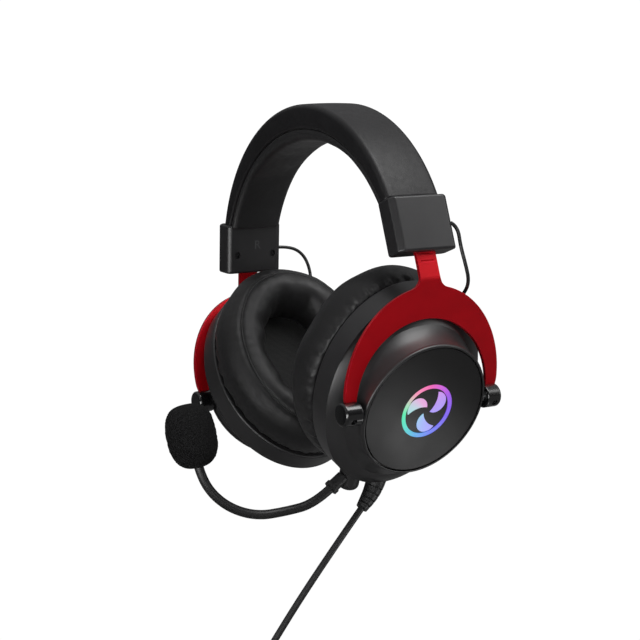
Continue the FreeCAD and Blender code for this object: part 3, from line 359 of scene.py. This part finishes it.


# the forks' cut edges are broken by a small chamfer; its faces get a lighter red, partly a bright cut edge and partly a
# painted highlight
import bmesh
for s_ in ("left", "right"):
    src = nodes[s_ + "_yoke"]
    bm = bmesh.new()
    bm.from_mesh(src.data)
    bmesh.ops.remove_doubles(bm, verts=bm.verts, dist=2e-6)
    bmesh.ops.dissolve_limit(bm, angle_limit=math.radians(0.6), verts=bm.verts, edges=bm.edges)
    me_ = bpy.data.meshes.new("fork_" + s_)
    bm.to_mesh(me_)
    bm.free()
    fo_ = bpy.data.objects.new("fork_" + s_, me_)
    scene.collection.objects.link(fo_)
    bv = fo_.modifiers.new("edge", "BEVEL")
    bv.width = 0.00042
    bv.segments = 2
    bv.limit_method = "ANGLE"
    bv.angle_limit = math.radians(50)
    bv.harden_normals = False
    bv.use_clamp_overlap = True
    # the chamfer faces take the lighter red, which is in part a painted highlight
    bv.material = 1
    fo_.data.materials.append(M["red"])
    fo_.data.materials.append(M["red_edge_highlight"])
    me2 = bpy.data.meshes.new_from_object(fo_.evaluated_get(bpy.context.evaluated_depsgraph_get()))
    fo_.modifiers.remove(bv)
    fo_.data = me2
    me2.polygons.foreach_set("use_smooth", np.ones(len(me2.polygons), bool))
    me2.set_sharp_from_angle(angle=math.radians(24))
    wn_ = fo_.modifiers.new("even", "WEIGHTED_NORMAL")
    wn_.keep_sharp = True
    wn_.mode = "FACE_AREA"
    wn_.weight = 80
    me3 = bpy.data.meshes.new_from_object(fo_.evaluated_get(bpy.context.evaluated_depsgraph_get()))
    fo_.modifiers.remove(wn_)
    fo_.data = me3
    which = np.zeros(len(me3.polygons), np.int32)
    me3.polygons.foreach_get("material_index", which)
    paint(fo_, M["red"])
    me3.materials.append(M["red_edge_highlight"])
    me3.polygons.foreach_set("material_index", np.minimum(which, 1))
    me3.update()
    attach(fo_, s_ + "_fork")
    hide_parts(s_ + "_yoke")

# ---------------------------------------------------------------- mesh helpers
def surface(name, grid, close_u, close_v, body=None, m=None, caps=False):
    """A smooth quad mesh through a grid of points (nu, nv, 3)."""
    nu, nv = grid.shape[:2]
    idx = np.arange(nu * nv).reshape(nu, nv)
    faces = []
    for i in range(nu if close_u else nu - 1):
        for j in range(nv if close_v else nv - 1):
            i2, j2 = (i + 1) % nu, (j + 1) % nv
            faces.append((idx[i, j], idx[i2, j], idx[i2, j2], idx[i, j2]))
    verts = grid.reshape(-1, 3)
    if caps:
        faces.append(tuple(idx[0, ::-1]) if close_v else ())
        faces.append(tuple(idx[-1, :]))
        faces = [f for f in faces if len(f) > 2]
    me = bpy.data.meshes.new(name)
    me.from_pydata([tuple(v) for v in verts], [], [tuple(int(k) for k in f) for f in faces])
    me.validate()
    me.update()
    ob = bpy.data.objects.new(name, me)
    scene.collection.objects.link(ob)
    # outward normals
    import bmesh
    bm = bmesh.new()
    bm.from_mesh(me)
    bmesh.ops.recalc_face_normals(bm, faces=bm.faces)
    bm.to_mesh(me)
    bm.free()
    me.polygons.foreach_set("use_smooth", np.ones(len(me.polygons), bool))
    me.update()
    if m is not None:
        paint(ob, m)
    if body:
        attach(ob, body)
    return ob


def closed_curve(pts, n):
    """n points evenly along a closed Catmull-Rom curve."""
    P = np.array(pts, float)
    k = len(P)
    out = []
    for i in range(k):
        p0, p1, p2, p3 = P[(i - 1) % k], P[i], P[(i + 1) % k], P[(i + 2) % k]
        for t in np.linspace(0, 1, 24, endpoint=False):
            out.append(0.5 * ((2 * p1) + (-p0 + p2) * t + (2 * p0 - 5 * p1 + 4 * p2 - p3) * t * t + (-p0 + 3 * p1 - 3 * p2 + p3) * t ** 3))
    Q = np.array(out)
    seg = np.linalg.norm(np.roll(Q, -1, 0) - Q, axis=1)
    s = np.concatenate([[0], np.cumsum(seg)])
    Qc = np.vstack([Q, Q[:1]])
    tt = np.linspace(0, s[-1], n, endpoint=False)
    return np.stack([np.interp(tt, s, Qc[:, j]) for j in range(P.shape[1])], 1)


def smooth_noise(u, v, seed, ku, kv, terms=26):
    """Seamless noise on a closed u, from seeded waves. u and v run 0 to 1."""
    rng = np.random.RandomState(seed)
    out = np.zeros(np.broadcast(u, v).shape)
    for _ in range(terms):
        fu = rng.randint(max(1, int(ku * 0.4)), int(ku * 1.4) + 2) * rng.choice([-1, 1])
        fv = rng.uniform(0.2, 1.0) * kv * rng.choice([-1, 1])
        out = out + np.sin(2 * math.pi * (fu * u + fv * v) + rng.uniform(0, 2 * math.pi))
    return out / math.sqrt(terms / 2)


def coords_of(ob):
    a = np.zeros(len(ob.data.vertices) * 3)
    ob.data.vertices.foreach_get("co", a)
    return a.reshape(-1, 3)


def normals_of(ob):
    a = np.zeros(len(ob.data.vertices) * 3)
    ob.data.vertices.foreach_get("normal", a)
    return a.reshape(-1, 3)


def set_coords(ob, P):
    ob.data.vertices.foreach_set("co", np.ascontiguousarray(P, float).ravel())
    ob.data.update()


def inflate(ob, weight, pressure, cap, shrink=0.0, frames=20, fine=0.2):
    """Cloth with pressure: the cover swells between its seams. Vertices of weight 1 are held."""
    vg = ob.vertex_groups.new(name="held")
    for i, w in enumerate(weight):
        if w > 0.01:
            vg.add([int(i)], float(w), "REPLACE")
    md = ob.modifiers.new("cover", "CLOTH")
    st = md.settings
    st.vertex_group_mass = "held"
    st.pin_stiffness = 4.0
    st.mass = 0.05
    st.quality = 6
    st.tension_stiffness = 12
    st.compression_stiffness = 12
    st.shear_stiffness = 6
    st.bending_stiffness = 0.3
    st.use_pressure = True
    st.uniform_pressure_force = pressure
    st.shrink_min = shrink
    st.effector_weights.gravity = 0
    md.collision_settings.use_collision = False
    md.point_cache.frame_start, md.point_cache.frame_end = 1, frames
    before = coords_of(ob)
    for f in range(1, frames + 1):
        scene.frame_set(f)
    dg = bpy.context.evaluated_depsgraph_get()
    ev = ob.evaluated_get(dg)
    a = np.zeros(len(ev.data.vertices) * 3)
    ev.data.vertices.foreach_get("co", a)
    after = a.reshape(-1, 3)
    d = after - before
    ln = np.linalg.norm(d, axis=1, keepdims=True)
    print("cover", ob.name, "moved", round(float(ln.max()) * 1000, 2), "mm, mean", round(float(ln.mean()) * 1000, 2))
    d = d * (cap * np.tanh(ln / cap) / np.maximum(ln, 1e-9))
    # stuffed leatherette swells broadly: only a share of the fine creases stays
    ed = np.zeros(len(ob.data.edges) * 2, np.int64)
    ob.data.edges.foreach_get("vertices", ed)
    ed = ed.reshape(-1, 2)
    deg = np.bincount(ed.ravel(), minlength=len(d))[:, None]
    broad = d.copy()
    for _ in range(24):
        acc = np.zeros_like(broad)
        np.add.at(acc, ed[:, 0], broad[ed[:, 1]])
        np.add.at(acc, ed[:, 1], broad[ed[:, 0]])
        broad = 0.5 * broad + 0.5 * acc / np.maximum(deg, 1)
    free = 1 - np.clip(np.asarray(weight, float), 0, 1)[:, None]
    d = (broad + fine * (d - broad)) * free
    ob.modifiers.remove(md)
    ob.vertex_groups.clear()
    scene.frame_set(1)
    set_coords(ob, before + d)


def refine(ob, levels=1):
    md = ob.modifiers.new("sub", "SUBSURF")
    md.levels = md.render_levels = levels
    dg = bpy.context.evaluated_depsgraph_get()
    me = bpy.data.meshes.new_from_object(ob.evaluated_get(dg))
    old = ob.data
    ob.modifiers.remove(md)
    ob.data = me
    me.polygons.foreach_set("use_smooth", np.ones(len(me.polygons), bool))
    bpy.data.meshes.remove(old)


# ---------------------------------------------------------------- cords
def nurbs(name, pts, d, m, as_mesh=False, res=8):
    cu = bpy.data.curves.new(name, "CURVE")
    cu.dimensions = "3D"
    sp = cu.splines.new("NURBS")
    sp.points.add(len(pts) - 1)
    for q, p in zip(sp.points, pts):
        q.co = (p[0], p[1], p[2], 1)
    sp.order_u = 3
    sp.use_endpoint_u = True
    sp.resolution_u = res
    cu.bevel_depth = d / 2
    cu.bevel_resolution = 6
    cu.use_fill_caps = True
    ob = bpy.data.objects.new(name, cu)
    scene.collection.objects.link(ob)
    if as_mesh:
        dg = bpy.context.evaluated_depsgraph_get()
        me = bpy.data.meshes.new_from_object(ob.evaluated_get(dg))
        bpy.data.objects.remove(ob)
        ob = bpy.data.objects.new(name, me)
        scene.collection.objects.link(ob)
        me.polygons.foreach_set("use_smooth", np.ones(len(me.polygons), bool))
    paint(ob, m) if as_mesh else cu.materials.append(m)
    return ob


CORD_D = 0.0035
CORD = [(0.0325, -0.0134, -0.19425), (0.0324, -0.0453, -0.2245), (0.0322, -0.0755, -0.2565), (0.0316, -0.0930, -0.2775),
        (0.0302, -0.1075, -0.2900), (0.0274, -0.1245, -0.2968), (0.0230, -0.1410, -0.29825)]
COIL = (-0.001687, -0.134417)
turns = []
PER = 14
ang = math.radians(-14.9 - 24)
# columns from the outside in, and back, layer by layer
RAD = [25.25, 21.75, 18.25, 14.75]
radii = RAD + RAD[::-1] + RAD + [14.75, 18.25, 21.75]
heights = [1.9] * 4 + [4.95] * 4 + [8.0] * 4 + [11.05] * 3
total = len(radii) * PER
rng = np.random.RandomState(5)
for k in range(total):
    t = k / PER
    i = int(t)
    f = t - i
    i2 = min(i + 1, len(radii) - 1)
    s = max(0.0, (f - 0.72) / 0.28)
    s = s * s * (3 - 2 * s)
    r = radii[i] * (1 - s) + radii[i2] * s
    z = heights[i] * (1 - s) + heights[i2] * s
    r = r / ((1 + math.cos(math.pi / PER)) / 2) + rng.uniform(-0.12, 0.12)
    w = ang - 2 * math.pi * t
    turns.append((COIL[0] + r * MM * math.cos(w), COIL[1] + r * MM * math.sin(w), -0.300 + z * MM + rng.uniform(-0.0001, 0.0001)))
w_end = ang - 2 * math.pi * total / PER
# the lead comes down the outside of the coil and leaves along the turn
a_to = math.radians(200.0)
k_end = (w_end - a_to) % (2 * math.pi)
n_out = max(3, int(k_end / (2 * math.pi / PER)))
for k in range(n_out):
    f = k / n_out
    w = w_end - k_end * f
    s = f * f * (3 - 2 * f)
    z = 11.05 * (1 - s) + 4.0 * s
    r = 25.25 + 2.6 * math.sin(math.pi * min(1, f * 1.1)) * (1 if f < 0.95 else 0.6)
    r = 21.75 + (25.9 - 21.75) * min(1.0, f * 2.2) if f < 0.5 else 25.9 + 0.2 * (1 - f)
    turns.append((COIL[0] + r * MM * math.cos(w), COIL[1] + r * MM * math.sin(w), -0.300 + z * MM))
P0 = (-0.025227, -0.142984, -0.2962)
TAN = (-0.342020, 0.939693)
for s in (0.0, 0.004, 0.0085, 0.013):
    turns.append((P0[0] + TAN[0] * s, P0[1] + TAN[1] * s, P0[2]))
cable = nurbs("cable", CORD + turns, CORD_D, M["cable"], res=6)
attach(cable, "left_cup")
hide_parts("cord", "cord_coil")

tie_c = math.radians(95.0)
sec = []
for k in range(40):
    w = 2 * math.pi * k / 40
    cx, sx = math.cos(w), math.sin(w)
    sec.append((7.75 * math.copysign(abs(cx) ** 0.5, cx), 7.35 * math.copysign(abs(sx) ** 0.5, sx)))
sec = np.array(sec)
ring = []
for j, (y, g) in enumerate(((-5.0, -0.15), (-4.8, 0.1), (-2, 0.22), (0, 0.1), (2, 0.22), (4.8, 0.1), (5.0, -0.15), (4.6, -0.55), (0, -0.6), (-4.6, -0.55))):
    row = []
    for (a, b) in sec:
        k = 1 + g / 7.5
        lr, lz = 20.0 + a * k, 7.35 + b * k
        row.append((COIL[0] + (lr * math.cos(tie_c) - y * math.sin(tie_c)) * MM, COIL[1] + (lr * math.sin(tie_c) + y * math.cos(tie_c)) * MM, -0.3 + lz * MM + 0.0001))
    ring.append(row)
tie = surface("cable_tie", np.array(ring), True, True, "left_cup", M["rubber"])
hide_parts("cord_tie")
curve_len = 0.0
dgl = bpy.context.evaluated_depsgraph_get()
tmp = cable.data.copy()
tmp.bevel_depth = 0
tob = bpy.data.objects.new("tmp_len", tmp)
scene.collection.objects.link(tob)
lm = bpy.data.meshes.new_from_object(tob.evaluated_get(bpy.context.evaluated_depsgraph_get()))
lc = np.array([v.co for v in lm.vertices])
curve_len = float(np.linalg.norm(np.diff(lc, axis=0), axis=1).sum())
bpy.data.objects.remove(tob)
bpy.data.meshes.remove(lm)
print("cable length", round(curve_len, 3))

# microphone stem
BOOM = [(30.969, -30.377, -181.775), (29.306, -40.152, -188.535), (26.6, -56.0, -190.3), (23.8, -70.5, -190.6),
        (21.4, -84.2, -185.0), (19.7, -94.2, -175.2), (18.8, -98.8, -163.0), (18.6, -100.0, -153.0)]
boom = nurbs("boom_stem", [tuple(c * MM for c in p) for p in BOOM], 0.0048, M["stem"], as_mesh=True, res=16)
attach(boom, "microphone")
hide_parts("mic_boom")

# leads between the slider housings and the cups, each in two pieces that meet on the fork
LEADS = {
    "left": [(88.26, 17.5, -51.97), (89.0, 21.0, -54.2), (89.3, 21.6, -64.0), (88.8, 24.2, -73.5), (87.0, 26.8, -81.5), (82.8, 27.0, -87.2), (76.8, 25.6, -91.8)],
    "right": [(-85.76, 17.5, -53.28), (-85.2, 27.5, -53.2), (-84.4, 36.3, -58.2), (-83.0, 39.4, -68.0), (-80.4, 37.3, -78.0), (-77.2, 32.2, -85.4), (-74.6, 28.0, -90.4)],
}


def lead_line(pts):
    cu = bpy.data.curves.new("l", "CURVE")
    cu.dimensions = "3D"
    sp = cu.splines.new("NURBS")
    sp.points.add(len(pts) - 1)
    for q, p in zip(sp.points, pts):
        q.co = (p[0] * MM, p[1] * MM, p[2] * MM, 1)
    sp.order_u = 3
    sp.use_endpoint_u = True
    sp.resolution_u = 16
    ob = bpy.data.objects.new("l", cu)
    scene.collection.objects.link(ob)
    me = bpy.data.meshes.new_from_object(ob.evaluated_get(bpy.context.evaluated_depsgraph_get()))
    L = np.array([v.co for v in me.vertices])
    bpy.data.objects.remove(ob)
    bpy.data.meshes.remove(me)
    return L


def tube(name, L, r, m, n=16):
    T = np.gradient(L, axis=0)
    T /= np.linalg.norm(T, axis=1, keepdims=True)
    ref = np.array([1.0, 0.2, 0.1])
    N = ref - (T @ ref)[:, None] * T
    N /= np.linalg.norm(N, axis=1, keepdims=True)
    B = np.cross(T, N)
    a = np.linspace(0, 2 * math.pi, n, endpoint=False)
    rr = np.broadcast_to(np.asarray(r, float).reshape(-1, 1, 1), (len(L), 1, 1))
    G = L[:, None, :] + rr * (np.cos(a)[None, :, None] * N[:, None, :] + np.sin(a)[None, :, None] * B[:, None, :])
    return surface(name, G, False, True, None, m, caps=True)


for s, pts in LEADS.items():
    L = lead_line(pts)
    cut = int(len(L) * 0.55)
    a, b = L[:cut + 1], L[cut:]
    up_l = tube("lead_upper_" + s, a, 0.00095, M["cable"])
    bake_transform(up_l)
    lo_l = tube("lead_lower_" + s, b, 0.00095, M["cable"])
    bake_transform(lo_l)
    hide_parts(s + "_lead")

# ---------------------------------------------------------------- headband cover and pad
SC, SR = -81.1, 86.9


def ray(c, r, th):
    """Distance from the seam's centre to the circle (0, c), r along angle th."""
    d = c - SC
    return d * np.cos(th) + np.sqrt(r * r - (d * np.sin(th)) ** 2)


def end_angle(lift):
    """Angle where the arc meets the plane across the leg, lift above the housing's middle."""
    lo, hi = 0.5, 1.4
    for _ in range(50):
        t = (lo + hi) / 2
        x, z = 86.9 * math.sin(t), SC + 86.9 * math.cos(t)
        if -math.sin(LEAN) * (x - 85.0) + math.cos(LEAN) * (z + 52.0) > lift:
            lo = t
        else:
            hi = t
    return lo


def rounded(w, h, rt, rb, crown, bulge, n=14):
    """Closed section: y across, s from 0 at the underside to h. Rounded corners, crowned top, bulged sides."""
    pts = []
    half = w / 2
    for cx, cz, r, a0, a1 in ((half - rt, h - rt, rt, 0, 90), (-half + rt, h - rt, rt, 90, 180), (-half + rb, rb, rb, 180, 270), (half - rb, rb, rb, 270, 360)):
        for a in np.linspace(math.radians(a0), math.radians(a1), n):
            pts.append((cx + r * math.cos(a), cz + r * math.sin(a)))
        if a1 == 90 or a1 == 270:
            e = (-half + rt, h) if a1 == 90 else (half - rb, 0)
            s = pts[-1]
            for t in np.linspace(0, 1, 14)[1:-1]:
                pts.append((s[0] + (e[0] - s[0]) * t, s[1]))
        else:
            e = (-half, rb) if a1 == 180 else (half, h - rt)
            s = pts[-1]
            for t in np.linspace(0, 1, 8)[1:-1]:
                pts.append((s[0], s[1] + (e[1] - s[1]) * t))
    P = np.array(pts)
    q = np.clip(1 - (P[:, 0] / half) ** 2, 0, 1)
    m_ = np.clip(P[:, 1] / h, 0, 1)
    P[:, 1] += crown * q * m_
    P[:, 0] += np.sign(P[:, 0]) * bulge * np.clip(1 - (2 * m_ - 1) ** 2, 0, 1)
    return P


def arch_surface(name, th0, n, lo_fn, hi_fn, section, m, body, noise_fn=None):
    rows = []
    for k, th in enumerate(np.linspace(-th0, th0, n)):
        lo, hi = lo_fn(th), hi_fn(th)
        S = section(hi - lo, th)
        r = lo + S[:, 1]
        rows.append(np.stack([r * math.sin(th) * MM, S[:, 0] * MM, (SC + r * math.cos(th)) * MM], 1))
    G = np.array(rows)
    return surface(name, G, False, True, None, m, caps=True)


t_cover, t_pad = end_angle(12.4), end_angle(13.2)
cover = arch_surface("band_cover_skin", t_cover, 150, lambda t: SR + 0.15, lambda t: ray(-70.7, 89.4, t),
                     lambda h, t: rounded(32.0, h, 2.6, 1.4, 0.45, 0.30), M["band"], "headband")
G0 = coords_of(cover)
inflate(cover, (np.abs(G0[:, 0]) > 0.0745).astype(float) * 1.0, 1.5, 0.0006, 0.0, 12, 0.04)
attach(cover, "headband")
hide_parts("band_cover")


def pad_under(t):
    return min(83.3, float(ray(-93.66, 93.66, t)))


def pad_section(h, t):
    P = rounded(29.8, h, 0.9, min(4.2, h * 0.62), 0.0, 0.5)
    k = np.clip(1 - np.abs(P[:, 0] / 15.4) ** 2.6, 0, 1)
    low = np.clip(1 - P[:, 1] / h, 0, 1)
    P[:, 1] -= 0.55 * k * low
    return P


pad = arch_surface("head_pad_skin", t_pad, 190, pad_under, lambda t: SR - 0.05, pad_section, M["pad"], "headband")
Gp = coords_of(pad)
rad = np.hypot(Gp[:, 0], Gp[:, 2] - SC * MM)
wrink = smooth_noise(np.arctan2(Gp[:, 0], Gp[:, 2] - SC * MM) / (2 * math.pi) + 0.5, Gp[:, 1] / 0.03 + 0.5, 11, 26, 1.1)
inward = np.clip((SR * MM - 0.0022 - rad) / 0.003, 0, 1)
nrm = normals_of(pad)
set_coords(pad, Gp + nrm * (wrink * inward * 0.00010)[:, None])
inflate(pad, np.clip(1 - (SR * MM - rad) / 0.0009, 0, 1), 3.0, 0.0010, 0.0, 14, 0.22)
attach(pad, "headband")
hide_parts("head_pad")

# ---------------------------------------------------------------- ear cushions
# section: inset from the outer oval, place along the cup's axis
SECT = [(3.4, -31.15), (1.5, -32.2), (0.35, -36.0), (0.0, -41.5), (0.5, -47.0), (2.4, -51.6), (5.3, -54.3), (6.6, -55.1), (7.6, -55.9),
        (11.0, -56.9), (15.2, -56.7), (19.4, -54.6), (22.6, -50.6), (24.6, -45.0), (25.0, -39.0), (23.4, -33.6), (20.2, -31.2), (12.0, -31.1)]
NU, NV = 240, 72


def cushion_grid(side, seed):
    S = closed_curve(SECT, NV)
    u = np.linspace(0, 1, NU, endpoint=False)[:, None]
    v = np.linspace(0, 1, NV, endpoint=False)[None, :]
    d, a = S[None, :, 0], S[None, :, 1]
    # arc length along the section from the rear seam and from the piping
    dr = np.hypot(d - 3.4, a + 31.15)
    dp = np.hypot(d - 6.6, a + 55.1)
    inner = np.clip((d - 15.0) / 6.0, 0, 1)
    outer = np.clip((6.0 - d) / 4.0, 0, 1)
    puck = smooth_noise(u, v * 0 + 0.0, seed, 70, 0.0, 34)
    slow = smooth_noise(u, v, seed + 1, 7, 1.5)
    folds = smooth_noise(u, v, seed + 2, 17, 1.2)
    near = np.exp(-(dr / 4.2) ** 2) * outer
    move = 0.72 * puck * near + 0.24 * slow + 0.34 * folds * inner * np.clip(1 - np.exp(-(dp / 5.0) ** 2), 0, 1)
    move = move + 0.05 * smooth_noise(u, v, seed + 3, 46, 1.0) * np.exp(-((dp - 2.0) / 2.6) ** 2)
    w = 2 * math.pi * u
    dd = d - np.where(d < 12, 1, -1) * 0.0
    # outward direction across the section
    ds = np.roll(S, -1, 0) - np.roll(S, 1, 0)
    nn = np.stack([-ds[:, 1], ds[:, 0]], 1)
    nn /= np.linalg.norm(nn, axis=1, keepdims=True)
    cen = S.mean(0)
    flip = np.sign(((S - cen) * nn).sum(1))
    nn = nn * flip[:, None]
    back = np.clip((-31.6 - a) / 1.0, 0, 1)
    move = move * back
    dd = d + nn[None, :, 0] * move
    aa = a + nn[None, :, 1] * move
    aa = np.maximum(aa, -57.6)
    y = (46.4 - dd) * np.cos(w)
    z = (55.0 - dd) * np.sin(w)
    return cup(aa + 0 * y, y, z, side), d + 0 * u, a + 0 * u


for side, s, seed in ((1, "left", 21), (-1, "right", 57)):
    G, dd, aa = cushion_grid(side, seed)
    cu = surface("cushion_skin_" + s, G, True, True, None, M["cushion"])
    dd, aa = dd.ravel(), aa.ravel()
    dp = np.hypot(dd - 6.6, aa + 55.1)
    dr = np.hypot(dd - 3.4, aa + 31.15)
    held = np.maximum.reduce([np.clip(1.6 - dp / 0.8, 0, 1), np.clip(1.6 - dr / 0.8, 0, 1), (aa > -31.9).astype(float)])
    inflate(cu, held, 4.0, 0.0014, -0.01, 16, 0.16)
    # the seam's groove
    P, N = coords_of(cu), normals_of(cu)
    groove = 0.0009 * np.exp(-(dp / 0.9) ** 2)
    set_coords(cu, P - N * groove[:, None])
    P = coords_of(cu).reshape(NU, NV, 3)
    j = int(np.argmin(np.hypot(dd[:NV] - 6.6, aa[:NV] + 55.1)))
    line = P[:, j, :].copy()
    N = normals_of(cu).reshape(NU, NV, 3)[:, j, :]
    refine(cu, 1)
    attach(cu, s + "_cup")
    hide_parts(s + "_ear_cushion")
    # piping sewn into the groove
    for _ in range(3):
        line = (np.roll(line, 1, 0) + 2 * line + np.roll(line, -1, 0)) / 4
    line = line + N * 0.00015
    T = np.roll(line, -1, 0) - np.roll(line, 1, 0)
    T /= np.linalg.norm(T, axis=1, keepdims=True)
    Nn = N - (N * T).sum(1, keepdims=True) * T
    Nn /= np.linalg.norm(Nn, axis=1, keepdims=True)
    B = np.cross(T, Nn)
    q = np.linspace(0, 2 * math.pi, 12, endpoint=False)
    R = 0.00055
    W = line[:, None, :] + R * (np.cos(q)[None, :, None] * Nn[:, None, :] + np.sin(q)[None, :, None] * B[:, None, :])
    pp = surface("cushion_piping_" + s, W, True, True, s + "_cup", M["piping"])

# ---------------------------------------------------------------- microphone foam
A0, A1 = np.array([18.6, -100.0, -153.0]), np.array([18.8, -98.8, -163.0])
bd = (A0 - A1) / np.linalg.norm(A0 - A1)
e1 = np.cross(bd, [0, 1, 0])
e1 /= np.linalg.norm(e1)
e2 = np.cross(bd, e1)
LO, HI, FR = -9.5, 22.5, 12.4
prof = []
for t in np.linspace(0, 1, 60):
    ph = -math.pi / 2 + math.pi * t
    c_, s_ = math.cos(ph), math.sin(ph)
    rr = FR * abs(c_) ** (0.62 if s_ > 0 else 0.70)
    hh = (HI + LO) / 2 + (HI - LO) / 2 * math.copysign(abs(s_) ** (0.80 if s_ > 0 else 0.86), s_)
    prof.append((max(rr, 0.02), hh))
prof = np.array(prof)
NUF = 170
u = np.linspace(0, 2 * math.pi, NUF, endpoint=False)
rng = np.random.RandomState(3)
rough = rng.normal(0, 1, (NUF, len(prof)))
rough = (rough + np.roll(rough, 1, 0) + np.roll(rough, -1, 0)) / 1.73
jit = 1 + 0.008 * rough * (prof[None, :, 0] > 1)
lump = smooth_noise(u[:, None] / (2 * math.pi), prof[None, :, 1] / 30, 9, 4, 1.5) * 0.10
Rr = prof[None, :, 0] * jit + lump * (prof[None, :, 0] > 1)
FG = A0[None, None, :] + bd[None, None, :] * (prof[None, :, 1, None] + 0 * Rr[:, :, None]) + Rr[:, :, None] * (np.cos(u)[:, None, None] * e1 + np.sin(u)[:, None, None] * e2)
foam = surface("windscreen", FG * MM, True, False, "microphone", M["foam"])
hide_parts("mic_foam")

# ---------------------------------------------------------------- side marks on the inner faces of the slider housings
for side, txt in ((1, "L"), (-1, "R")):
    cuv = bpy.data.curves.new("mark_" + txt, "FONT")
    cuv.body = txt
    cuv.size = 0.0070
    cuv.align_x, cuv.align_y = "CENTER", "CENTER"
    cuv.extrude = 0.00004
    ob = bpy.data.objects.new("mark_tmp", cuv)
    scene.collection.objects.link(ob)
    me = bpy.data.meshes.new_from_object(ob.evaluated_get(bpy.context.evaluated_depsgraph_get()))
    bpy.data.objects.remove(ob)
    mo = bpy.data.objects.new("side_mark_" + txt, me)
    scene.collection.objects.link(mo)
    c = leg(-7.53, 1.6, -2.0, side)
    n = leg(-1, 0, 0, side) - leg(0, 0, 0, side)
    n /= np.linalg.norm(n)
    upv = leg(0, 0, -1, side) - leg(0, 0, 0, side)
    upv /= np.linalg.norm(upv)
    rt = np.cross(upv, n)
    mo.matrix_world = Matrix(((rt[0], upv[0], n[0], c[0]), (rt[1], upv[1], n[1], c[1]), (rt[2], upv[2], n[2], c[2]), (0, 0, 0, 1)))
    bpy.context.view_layer.update()
    me.transform(mo.matrix_world)
    mo.matrix_world = Matrix.Identity(4)
    paint(mo, M["ink"])
    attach(mo, "headband")

# ---------------------------------------------------------------- floor, light
bpy.ops.mesh.primitive_circle_add(vertices=96, radius=9, fill_type="NGON", location=(0, 0, -0.3))
floor = bpy.context.object
floor.name = "floor"
mfl, ntf, pf = new_mat("floor_white")
ff = noise_node(ntf, 3.0, 2.0, 0.5, coords(ntf))
ntf.links.new(two_tone(ntf, ff, (0.17, 0.17, 0.17), (0.18, 0.18, 0.18)), pf.inputs["Base Color"])
pf.inputs["Roughness"].default_value = 0.9
pf.inputs["Specular IOR Level"].default_value = 0.0
flp = ntf.nodes.new("ShaderNodeLightPath")
fem = ntf.nodes.new("ShaderNodeEmission")
fem.inputs["Color"].default_value = (1, 1, 1, 1)
fem.inputs["Strength"].default_value = 1.02
fmx = ntf.nodes.new("ShaderNodeMixShader")
ntf.links.new(flp.outputs["Is Camera Ray"], fmx.inputs[0])
ntf.links.new(pf.outputs[0], fmx.inputs[1])
ntf.links.new(fem.outputs[0], fmx.inputs[2])
ntf.links.new(fmx.outputs[0], ntf.nodes["Material Output"].inputs["Surface"])
paint(floor, mfl)

world = bpy.data.worlds.new("studio")
scene.world = world
world.use_nodes = True
wn = world.node_tree
bg = wn.nodes["Background"]
tc = wn.nodes.new("ShaderNodeTexCoord")
sx = wn.nodes.new("ShaderNodeSeparateXYZ")
wn.links.new(tc.outputs["Generated"], sx.inputs[0])
wr = wn.nodes.new("ShaderNodeValToRGB")
mr = wn.nodes.new("ShaderNodeMapRange")
mr.inputs["From Min"].default_value = -1
mr.inputs["From Max"].default_value = 1
wn.links.new(sx.outputs["Z"], mr.inputs["Value"])
wn.links.new(mr.outputs["Result"], wr.inputs["Fac"])
e = wr.color_ramp.elements
e[0].position, e[0].color = 0.50, (0.07, 0.07, 0.073, 1)
e[1].position, e[1].color = 0.95, (0.72, 0.72, 0.73, 1)
em = wr.color_ramp.elements.new(0.66)
em.color = (0.13, 0.13, 0.135, 1)
lp = wn.nodes.new("ShaderNodeLightPath")
white = wn.nodes.new("ShaderNodeBackground")
white.inputs["Color"].default_value = (1, 1, 1, 1)
white.inputs["Strength"].default_value = 1.05
ms = wn.nodes.new("ShaderNodeMixShader")
wn.links.new(wr.outputs["Color"], bg.inputs["Color"])
bg.inputs["Strength"].default_value = 0.8
wn.links.new(lp.outputs["Is Camera Ray"], ms.inputs[0])
wn.links.new(bg.outputs[0], ms.inputs[1])
wn.links.new(white.outputs[0], ms.inputs[2])
wn.links.new(ms.outputs[0], wn.nodes["World Output"].inputs["Surface"])


def area(name, loc, target, size, power, color=(1, 1, 1)):
    l = bpy.data.lights.new(name, "AREA")
    l.shape = "RECTANGLE"
    l.size, l.size_y = size
    l.energy = power
    l.color = color
    o = bpy.data.objects.new(name, l)
    scene.collection.objects.link(o)
    o.location = loc
    d = Vector(target) - Vector(loc)
    o.rotation_euler = d.to_track_quat("-Z", "Y").to_euler()
    o.visible_camera = False
    return o


C = (0, 0, -0.09)
area("key_top", (0.75, 0.35, 1.15), C, (1.1, 1.1), 24)
area("side_back", (0.9, 1.1, 0.30), C, (0.5, 0.9), 4)
area("side_front", (0.2, -1.4, 0.55), C, (0.6, 0.8), 1.0)
area("low_near", (0.114, 0.060, -0.244), (0.066, 0.008, -0.172), (0.05, 0.04), 0.024)
area("low_front", (0.24, -0.55, -0.28), (0.03, 0.0, -0.16), (0.5, 0.3), 4.0)
area("low_wide", (0.7, -0.5, -0.29), (0, 0, -0.16), (0.8, 0.5), 3.6)
scene.view_settings.view_transform = "Standard"
scene.view_settings.look = "None"

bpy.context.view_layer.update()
